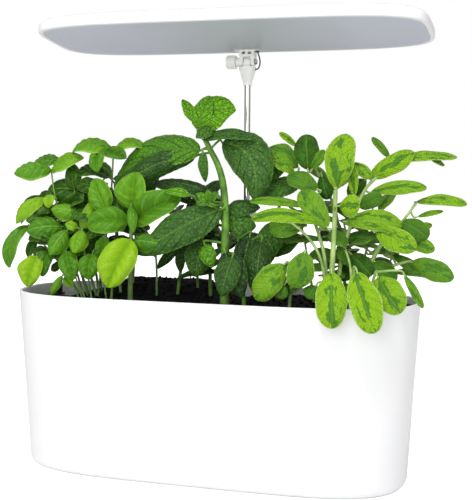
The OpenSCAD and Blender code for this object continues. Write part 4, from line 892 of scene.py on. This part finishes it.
def make_herb(name, kind, stems, leaves, filler, thickets, faces, stalk_finish, stalk_r, slot, seed):
    """Herb: tapered stems, drawn leaves on stalks, filler sprigs behind and loose leaves inside.
    Stem points are (x, z, depth) on the front view."""
    rng = random.Random(seed)
    form = FORM[kind]
    routes = []
    for points, foot_r, tip_r in stems:
        places = [seen(*p) for p in points]
        places[0].z = SOIL_TOP
        last = len(places) - 1
        routes.append([(p, (foot_r + (tip_r - foot_r) * i / last) * MM) for i, p in enumerate(places)])
    blades = [b for b in drawn_blades(leaves) if stands_free(b)]
    drawn = len(blades)
    for (foot, tip), spin, length, width, tone_and_shade in filler:
        base, top = Vector(foot) * MM, Vector(tip) * MM
        base.z = SOIL_TOP
        routes.append([(base, 1.5 * MM), (base.lerp(top, 0.5) + Vector((0, 0, 4 * MM)), 1.2 * MM),
                       (top, 0.8 * MM)])
        blades += sprig(base, top, spin, length, width, tone_and_shade, rng)
    samples = stem_samples(routes)
    for settings in thickets:
        blades += [b for b in thicket(*settings, rng)
                   if min((p - b[0]).length for p in samples) < STEM_REACH]
    blades = blades[:drawn] + [b for b in blades[drawn:] if stands_free(b)]
    fine = blade_grid(*(TOOTHED_CELLS if form["teeth"] else SMOOTH_CELLS))
    coarse = blade_grid(*SMALL_CELLS)
    pieces = []
    for number, (foot, tip, width, facing, arch, bend, tone_and_shade) in enumerate(blades):
        source = fine if number < drawn and width > NARROW else coarse
        mesh = source.data.copy()
        flat = np.empty(len(mesh.vertices) * 3)
        mesh.vertices.foreach_get("co", flat)
        points = shape_blade(form, flat.reshape(-1, 3), foot, tip, width, facing, arch, bend,
                             rng.uniform(-0.35, 0.35), rng)
        mesh.vertices.foreach_set("co", points.ravel())
        # The tone attribute holds each leaf's own tone and painted shade for leaves that lie in shade
        attribute = mesh.attributes.new("tone_and_shade", "FLOAT", "POINT")
        level = 0.5 + 0.5 * tone_and_shade + rng.uniform(-0.05, 0.05)
        attribute.data.foreach_set("value", np.full(len(mesh.vertices), level))
        for finish in faces:
            mesh.materials.append(finish)
        blade = bpy.data.objects.new("blade", mesh)
        scene.collection.objects.link(blade)
        pieces.append(blade)
        below = [p for p in samples if p.z < foot.z + STALK_ABOVE]
        start = min(below, key=lambda p: (p - foot).length)
        inward = (foot - tip).normalized() * min(STALK_STRAIGHT, (foot - start).length / 2)
        routes.append([(start, stalk_r * MM), (foot + inward, stalk_r * 0.9 * MM), (foot, stalk_r * 0.8 * MM),
                       (foot.lerp(tip, 0.12), stalk_r * 0.45 * MM)])
    for spare in (fine, coarse):
        bpy.data.objects.remove(spare)
    sheet = joined(name, pieces)
    apply(sheet, "SOLIDIFY", thickness=form["thick"] * MM, offset=-1, material_offset=1)
    smooth(sheet, 80)
    plant = joined(name, [sheet, tube(name + "_stems", routes, stalk_finish)])
    finished(plant, "tub", slot, kind)


# Stems: points (x, z, depth) on the front view, radius at the foot and at the tip. Each foot is set
# down on the mix, and so is a sprig's.
# Leaves: foot and tip on the front view, width, upturn in degrees, arch, tone from dark (-1) to light
# (1), which holds painted shade on leaves that lie in shade as well as their own tone, and, where there is
# one, sideways bend.
# Filler: foot and top (x, y, z) of a sprig, its turn in degrees, leaf length and width, tone.
# Thickets: middle and spread (x, y, z), number of leaves, their length and width, tone, set dark as painted
# shade inside the bush.

# ---------------------------------------------------------------- basil

BASIL_STEMS = (
    (((-148, 164, -20), (-163, 209, -12), (-179, 262, -2), (-182, 290, 5)), 1.1, 0.8),
    (((-135, 164, -10), (-127, 220, 0), (-120, 272, 8), (-119, 308, 10)), 1.1, 0.8),
    (((-141, 164, -28), (-147, 200, -30), (-152, 230, -30), (-148, 252, -26)), 1.0, 0.8),
    (((-102, 163, -30), (-101, 200, -34), (-101, 238, -36), (-98, 254, -32)), 2.6, 1.4),
    (((-154, 164, -24), (-167, 197, -22), (-190, 222, -16), (-205, 235, -15)), 1.0, 0.7),
    (((-150, 166, -8), (-168, 185, -8), (-183, 210, -4), (-197, 221, 5)), 0.9, 0.7),
    (((-126, 164, -18), (-132, 198, -24), (-126, 224, -28), (-126, 250, -30)), 1.0, 0.8),
    (((-145, 164, -4), (-157, 205, -4), (-171, 234, -14), (-185, 263, -12)), 1.0, 0.8),
    (((-121, 164, -40), (-120, 198, -46), (-104, 218, -50)), 1.2, 0.9),
    (((-75, 168, 0), (-74, 198, 0), (-80, 226, -14), (-96, 238, -28)), 1.2, 0.8),
    (((-150, 164, -34), (-158, 184, -36), (-164, 206, -34)), 0.8, 0.6),
    (((-130, 164, 20), (-138, 220, 18), (-142, 268, 16), (-126, 284, 20)), 1.0, 0.8),
)
BASIL_LEAVES = (
    ((-182, 291, 5), (-220, 287, -15), 26, 58, 4, 0.3),
    ((-181, 289, 5), (-149, 304, 0), 26, 55, 6, 0.5),
    ((-173, 300, 15), (-202, 296, 12), 22, 60, 4, 0.1),
    ((-120, 309, 10), (-162, 311, 0), 27, 62, 7, 0.5),
    ((-118, 309, 10), (-85, 314, 5), 24, 66, 6, 0.6),
    ((-134, 308, 0), (-136, 289, -18), 17, 20, 3, 0.3),
    ((-126, 308, 2), (-106, 303, -10), 18, 45, 3, 0.0),
    ((-124, 283, 20), (-161, 281, 10), 24, 62, 9, -0.7),
    ((-142, 267, 15), (-187, 271, 5), 30, 28, 6, -0.6),
    ((-188, 262, -10), (-218, 236, -25), 20, 55, 9, 0.8),
    ((-183, 265, -12), (-185, 252, -20), 12, 20, 2, 0.9),
    ((-183, 250, 0), (-213, 236, -5), 18, 55, 5, -0.6),
    ((-171, 233, -20), (-209, 229, -35), 25, 22, 5, 0.1),
    ((-153, 245, -20), (-183, 252, -25), 20, 35, 4, 0.5),
    ((-206, 234, -15), (-226, 190, -25), 20, 58, 10, 0.2),
    ((-197, 220, 5), (-206, 201, 0), 12, 40, 3, -0.4),
    ((-197, 203, -30), (-206, 172, -42), 25, 15, 4, 1.0),
    ((-183, 209, -25), (-192, 182, -35), 17, 25, 4, -0.1),
    ((-166, 229, -30), (-184, 204, -45), 23, 20, 4, 0.2),
    ((-151, 229, -35), (-159, 206, -48), 19, 15, 2, 0.6),
    ((-155, 232, -32), (-168, 236, -38), 10, 30, 2, 0.7),
    ((-167, 207, -35), (-159, 179, -45), 20, 15, 3, 0.1),
    ((-140, 205, -40), (-145, 179, -50), 22, 15, 3, 0.2),
    ((-142, 228, -15), (-145, 203, -20), 15, 20, 2, -0.5),
    ((-126, 223, -25), (-134, 196, -32), 15, 20, 2, 0.4),
    ((-104, 238, -35), (-147, 234, -50), 30, 28, 7, 0.3),
    ((-101, 254, -38), (-99, 226, -50), 10, 30, 4, 0.2),
    ((-98, 251, -30), (-97, 290, -30), 31, 8, 4, 0.35),
    ((-97, 238, -28), (-50, 263, -26), 31, 22, 6, 0.05),
    ((-126, 249, -30), (-139, 282, -15), 25, 10, 3, 0.5),
    ((-151, 230, -30), (-141, 260, -20), 15, 10, 2, 0.6),
    ((-101, 219, -50), (-125, 171, -66), 35, 8, 6, 1.0),
    ((-99, 218, -45), (-72, 216, -50), 19, 22, 4, 0.0),
    ((-171, 183, -30), (-184, 163, -38), 9, 30, 2, 0.5),
    ((-168, 182, -35), (-160, 172, -42), 10, 20, 1, 0.6),
    ((-173, 197, -10), (-183, 188, -10), 10, 30, 1, -0.5),
)
BASIL_FILLER = (
    (((-134, 26, 0), (-160, 46, 262)), 20, 36, 23, -0.1),
    (((-112, 32, 0), (-128, 52, 280)), 60, 38, 24, 0.0),
    (((-96, 24, 0), (-98, 44, 268)), 10, 36, 23, 0.1),
    (((-140, 14, 0), (-184, 36, 240)), 45, 36, 22, 0.0),
    (((-122, -6, 0), (-152, 4, 240)), 75, 34, 22, -0.3),
    (((-100, 4, 0), (-110, 10, 252)), 30, 36, 23, -0.3),
)
# Dark tones here are painted shade inside the bush
BASIL_THICKETS = (
    ((-150, 2, 248), (38, 22, 34), 34, 26, 18, -0.7),
    ((-112, 0, 246), (30, 22, 34), 26, 27, 19, -0.75),
    ((-160, -10, 214), (34, 18, 22), 16, 22, 15, -0.5),
)
make_herb("basil_plant", "basil", BASIL_STEMS, BASIL_LEAVES, BASIL_FILLER, BASIL_THICKETS,
          (basil_top, basil_under), basil_stalk, stalk_r=0.9, slot="basil_leaf", seed=11)

# ---------------------------------------------------------------- mint

MINT_STEMS = (
    (((-6, 158, -45), (-5, 209, -38), (-5, 262, -26), (-10, 292, -16), (-22, 314, -10), (-31, 333, -6)),
     4.4, 2.2),
    (((14, 160, -30), (12, 200, -26), (6, 232, -20)), 2.2, 1.4),
    (((-54, 170, 5), (-50, 200, 4), (-40, 224, -4), (-28, 240, -14)), 1.8, 1.2),
    (((30, 165, 10), (40, 220, 12), (52, 262, 12), (62, 290, 12)), 2.0, 1.3),
    (((-20, 166, 20), (-22, 220, 20), (-16, 268, 10)), 2.0, 1.3),
)
MINT_LEAVES = (
    ((-33, 331, -5), (5, 352, -12), 36, 15, 4, 0.9, 8),
    ((-33, 332, -9), (-21, 367, -10), 22, 20, 4, 0.8),
    ((-35, 340, -5), (-49, 363, -5), 12, 20, 2, 1.0),
    ((-18, 332, -12), (-36, 324, -20), 15, 30, 2, -0.3),
    ((-31, 310, -10), (-121, 256, 5), 38, 30, 8, 0.3, -20),
    # Dark blade under the long leaf: painted shade for that leaf's shaded lower half
    ((-36, 304, -6), (-127, 252, -12), 24, 5, 4, -0.75, -13),
    ((-8, 318, -8), (24, 259, -28), 42, 20, 10, -0.5, 16),
    ((-27, 322, -12), (26, 322, -20), 18, 50, 4, -0.55, 2),
    ((-28, 309, -15), (-25, 278, -15), 10, 30, 2, -0.2),
    ((-9, 251, -35), (-93, 204, -45), 36, 25, 8, -0.55),
    ((-13, 262, 0), (-82, 277, 5), 26, 62, 8, -0.8),
    ((-21, 258, -42), (-35, 267, -44), 9, 40, 2, 0.4),
    ((-21, 258, -42), (-12, 269, -44), 9, 30, 2, 0.3),
    ((-21, 258, -42), (-23, 271, -46), 8, 20, 2, 0.5),
    ((-21, 258, -42), (-36, 256, -46), 8, 30, 2, 0.2),
    ((-41, 265, -34), (-68, 269, -36), 10, 40, 3, 0.9),
    ((-28, 220, -25), (-36, 181, -35), 27, 15, 4, -0.6),
    ((-26, 215, -38), (-18, 191, -45), 16, 15, 3, 0.5),
    ((-4, 238, -20), (27, 234, -15), 26, 20, 3, -0.4),
    ((-5, 250, -15), (31, 253, -12), 22, 45, 4, -0.7),
    ((-5, 207, -50), (12, 160, -60), 27, 15, 5, -0.85),
    ((20, 224, -25), (9, 170, -35), 24, 20, 4, -0.85),
    ((32, 220, -30), (25, 163, -45), 24, 20, 4, -0.8),
    ((71, 279, 10), (22, 260, 0), 23, 35, 6, -0.35),
    ((52, 301, 15), (35, 275, 5), 19, 20, 3, -0.1),
    ((-43, 222, 0), (-55, 197, 0), 15, 25, 2, -0.8),
    ((2, 202, -64), (-10, 161, -70), 24, 12, 4, -0.75),
    ((-12, 187, -4), (-57, 180, -2), 15, 68, 4, -0.85),
    ((-49, 212, -2), (-51, 186, -2), 11, 20, 2, -0.8),
    ((-54, 210, 6), (-75, 190, 6), 11, 25, 2, -0.8),
    ((46, 238, -12), (30, 188, -18), 26, 15, 4, -0.35),
)
MINT_FILLER = (
    (((-24, 22, 0), (-30, 30, 258)), 15, 44, 25, -0.5),
    (((4, 14, 0), (6, 22, 236)), 70, 42, 24, -0.5),
)
# Dark tones here are painted shade inside the bush
MINT_THICKETS = (
    ((-38, 6, 258), (26, 18, 20), 10, 34, 22, -0.8),
    ((16, -2, 226), (26, 16, 30), 14, 28, 19, -0.8),
)
make_herb("mint_plant", "mint", MINT_STEMS, MINT_LEAVES, MINT_FILLER, MINT_THICKETS,
          (mint_top, mint_under), mint_stalk, stalk_r=1.2, slot="mint_leaf", seed=23)

# ---------------------------------------------------------------- variegated sage

SAGE_STEMS = (
    (((101, 160, -40), (104, 198, -40), (106, 236, -34), (107, 270, -26)), 2.8, 2.0),
    (((99, 168, -30), (98, 196, -32), (90, 226, -26), (79, 256, -10), (69, 290, 4)), 2.0, 1.1),
    (((107, 168, -26), (111, 198, -24), (121, 230, -18), (131, 260, -12), (143, 281, -2), (172, 300, 10)),
     2.4, 1.2),
    (((133, 160, -20), (139, 188, -20), (152, 214, -20), (164, 228, -14), (174, 236, -10), (189, 257, 2)),
     2.3, 1.2),
    (((100, 168, -36), (97, 192, -38), (79, 226, -30), (60, 238, -24)), 1.7, 1.1),
    (((121, 160, -40), (127, 189, -50), (117, 209, -30)), 1.6, 1.0),
    (((144, 162, -15), (157, 190, -15), (176, 197, -14), (184, 198, -15)), 1.7, 1.1),
    (((104, 166, -46), (103, 192, -62), (103, 191, -73)), 1.6, 1.3),
    (((124, 166, -42), (125, 194, -60), (126, 192, -71)), 1.6, 1.3),
    (((140, 166, -38), (146, 192, -54), (150, 187, -62)), 1.6, 1.3),
    (((118, 168, 12), (114, 230, 18), (96, 280, 14), (80, 300, 8)), 1.8, 1.1),
    (((60, 166, -34), (62, 190, -44), (72, 204, -48)), 1.5, 1.1),
)
SAGE_LEAVES = (
    ((108, 272, -25), (117, 329, -20), 28, 5, 6, 0.6),
    ((79, 291, 0), (77, 327, 2), 24, 10, 3, -0.9),
    ((67, 315, 5), (50, 329, 5), 7, 20, 2, 0.9),
    ((69, 293, 5), (38, 315, 0), 22, 35, 9, 0.0),
    ((66, 286, 0), (40, 303, -5), 14, 40, 6, 0.3),
    ((83, 291, 0), (96, 311, 0), 10, 20, 2, 0.0),
    ((162, 303, 15), (144, 324, 15), 8, 25, 2, -0.2),
    ((142, 283, 0), (187, 309, 5), 19, 15, 4, 0.6),
    ((172, 301, 10), (231, 304, 15), 14, 45, 5, 0.5),
    ((202, 304, 12), (218, 295, 12), 6, 40, 1, 0.0),
    ((143, 268, -5), (200, 273, 0), 15, 30, 6, 0.3),
    ((123, 298, -5), (144, 283, -10), 12, 25, 3, 0.5),
    ((126, 264, -15), (123, 299, -15), 10, 20, 2, 0.6),
    ((131, 253, -10), (155, 264, -10), 15, 15, 3, -0.5),
    ((111, 254, -42), (132, 255, -50), 21, 10, 3, 0.7),
    ((118, 238, -25), (176, 235, -20), 21, 25, 8, 0.4),
    ((149, 229, -25), (189, 210, -35), 22, 15, 5, 0.5),
    ((174, 238, -10), (202, 221, -15), 21, 20, 5, -0.5),
    ((190, 243, 0), (217, 249, 0), 6, 30, 2, 0.0),
    ((189, 258, 5), (241, 256, 10), 12, 35, 5, 0.5),
    ((177, 218, -10), (208, 209, -15), 15, 20, 3, 0.1),
    ((184, 197, -15), (228, 181, -25), 20, 15, 5, -0.1),
    ((77, 254, -20), (19, 260, -25), 11, 40, 4, 0.1),
    ((90, 236, -35), (21, 241, -45), 15, 35, 12, 0.5),
    ((99, 232, -35), (72, 272, -25), 22, 10, 5, 0.0),
    ((89, 271, -15), (57, 285, -10), 19, 25, 4, -0.3),
    ((75, 234, -20), (38, 230, -25), 20, 20, 4, -0.2),
    ((55, 195, -50), (25, 159, -62), 26, 10, 5, 0.2),
    ((76, 207, -50), (66, 170, -60), 25, 10, 4, 0.0),
    ((55, 174, -50), (46, 160, -55), 16, 15, 2, -0.3),
    ((103, 187, -79), (104, 129, -92), 28, 5, 5, 0.75),
    ((129, 187, -77), (148, 125, -91), 28, 5, 5, 0.75, -2),
    ((150, 182, -68), (173, 144, -80), 26, 5, 5, 0.5),
    ((177, 184, -52), (196, 150, -60), 8, 40, 3, -0.1),
    ((87, 173, -50), (78, 160, -58), 15, 15, 2, -0.6),
    ((144, 196, -20), (169, 178, -25), 17, 20, 3, -0.6),
    ((116, 222, 0), (156, 220, 0), 14, 30, 3, -0.8),
    ((123, 205, -20), (144, 183, -25), 18, 15, 3, -0.8),
    ((93, 285, 5), (99, 260, 5), 15, 15, 2, -0.9),
    ((138, 281, 0), (119, 264, 0), 15, 20, 2, -0.9),
    ((72, 224, 10), (40, 206, 10), 21, 30, 3, -0.95),
    ((110, 215, 5), (132, 184, 0), 21, 20, 3, -0.95),
)
SAGE_FILLER = (
    (((112, 16, 0), (112, 34, 276)), 20, 42, 17, 0.0),
    (((132, 20, 0), (152, 40, 252)), 60, 42, 17, 0.2),
    (((96, 20, 0), (78, 40, 240)), 80, 40, 16, 0.0),
    (((146, 8, 0), (178, 26, 226)), 15, 40, 16, 0.1),
    (((122, -4, 0), (130, 4, 236)), 40, 40, 17, -0.4),
)
# Dark tones here are painted shade inside the bush
SAGE_THICKETS = (
    ((104, 0, 250), (34, 20, 26), 16, 30, 14, -0.7),
    ((148, -2, 222), (32, 18, 22), 16, 28, 13, -0.6),
    ((100, -20, 192), (34, 14, 12), 12, 24, 14, -0.8),
)
make_herb("sage_plant", "sage", SAGE_STEMS, SAGE_LEAVES, SAGE_FILLER, SAGE_THICKETS,
          (sage_top, sage_under), sage_stalk, stalk_r=1.1, slot="sage_leaf", seed=37)


# ---------------------------------------------------------------- floor, world and lights

def add_floor():
    """Pale matt floor that keeps the soft shadow and shows as white where it is open."""
    bpy.ops.object.select_all(action="DESELECT")
    bpy.ops.mesh.primitive_plane_add(size=14)
    floor = bpy.context.object
    floor.name = "floor"
    made, tree, shader = new_material("pale_floor", Roughness=0.9)
    shader.inputs["Base Color"].default_value = linear("#F2F2F2")
    rays = add(tree, "ShaderNodeLightPath")
    glow = add(tree, "ShaderNodeMath", {1: 0.8}, {0: rays.outputs["Is Camera Ray"]}, operation="MULTIPLY")
    shader.inputs["Emission Color"].default_value = (1, 1, 1, 1)
    tree.links.new(glow.outputs[0], shader.inputs["Emission Strength"])
    floor.data.materials.append(made)


def add_world():
    """White surroundings for the camera and reflections, dimmer as a light."""
    world = bpy.data.worlds.new("studio")
    scene.world = world
    world.use_nodes = True
    tree = world.node_tree
    rays = add(tree, "ShaderNodeLightPath")
    shown = add(tree, "ShaderNodeMath", links={0: rays.outputs["Is Camera Ray"],
                                               1: rays.outputs["Is Transmission Ray"]}, operation="MAXIMUM")
    strength = add(tree, "ShaderNodeMapRange", {"To Min": 0.64, "To Max": 1.0}, {"Value": shown.outputs[0]})
    back = tree.nodes["Background"]
    back.inputs["Color"].default_value = (1, 1, 1, 1)
    tree.links.new(strength.outputs["Result"], back.inputs["Strength"])


LIT_POINT = Vector((0, 0, 0.2))


def add_light(name, place, size, power):
    """Square soft light aimed just above the mix."""
    data = bpy.data.lights.new(name, "AREA")
    data.size = size
    data.energy = power
    lamp = bpy.data.objects.new(name, data)
    lamp.location = place
    lamp.rotation_euler = (LIT_POINT - Vector(place)).to_track_quat("-Z", "Y").to_euler()
    scene.collection.objects.link(lamp)


add_floor()
add_world()
add_light("key", (0.1, -2.1, 0.8), size=1.3, power=19)
add_light("fill", (1.7, -1.2, 0.9), size=1.0, power=2)
add_light("top", (0.2, -0.9, 2.0), size=0.6, power=19)
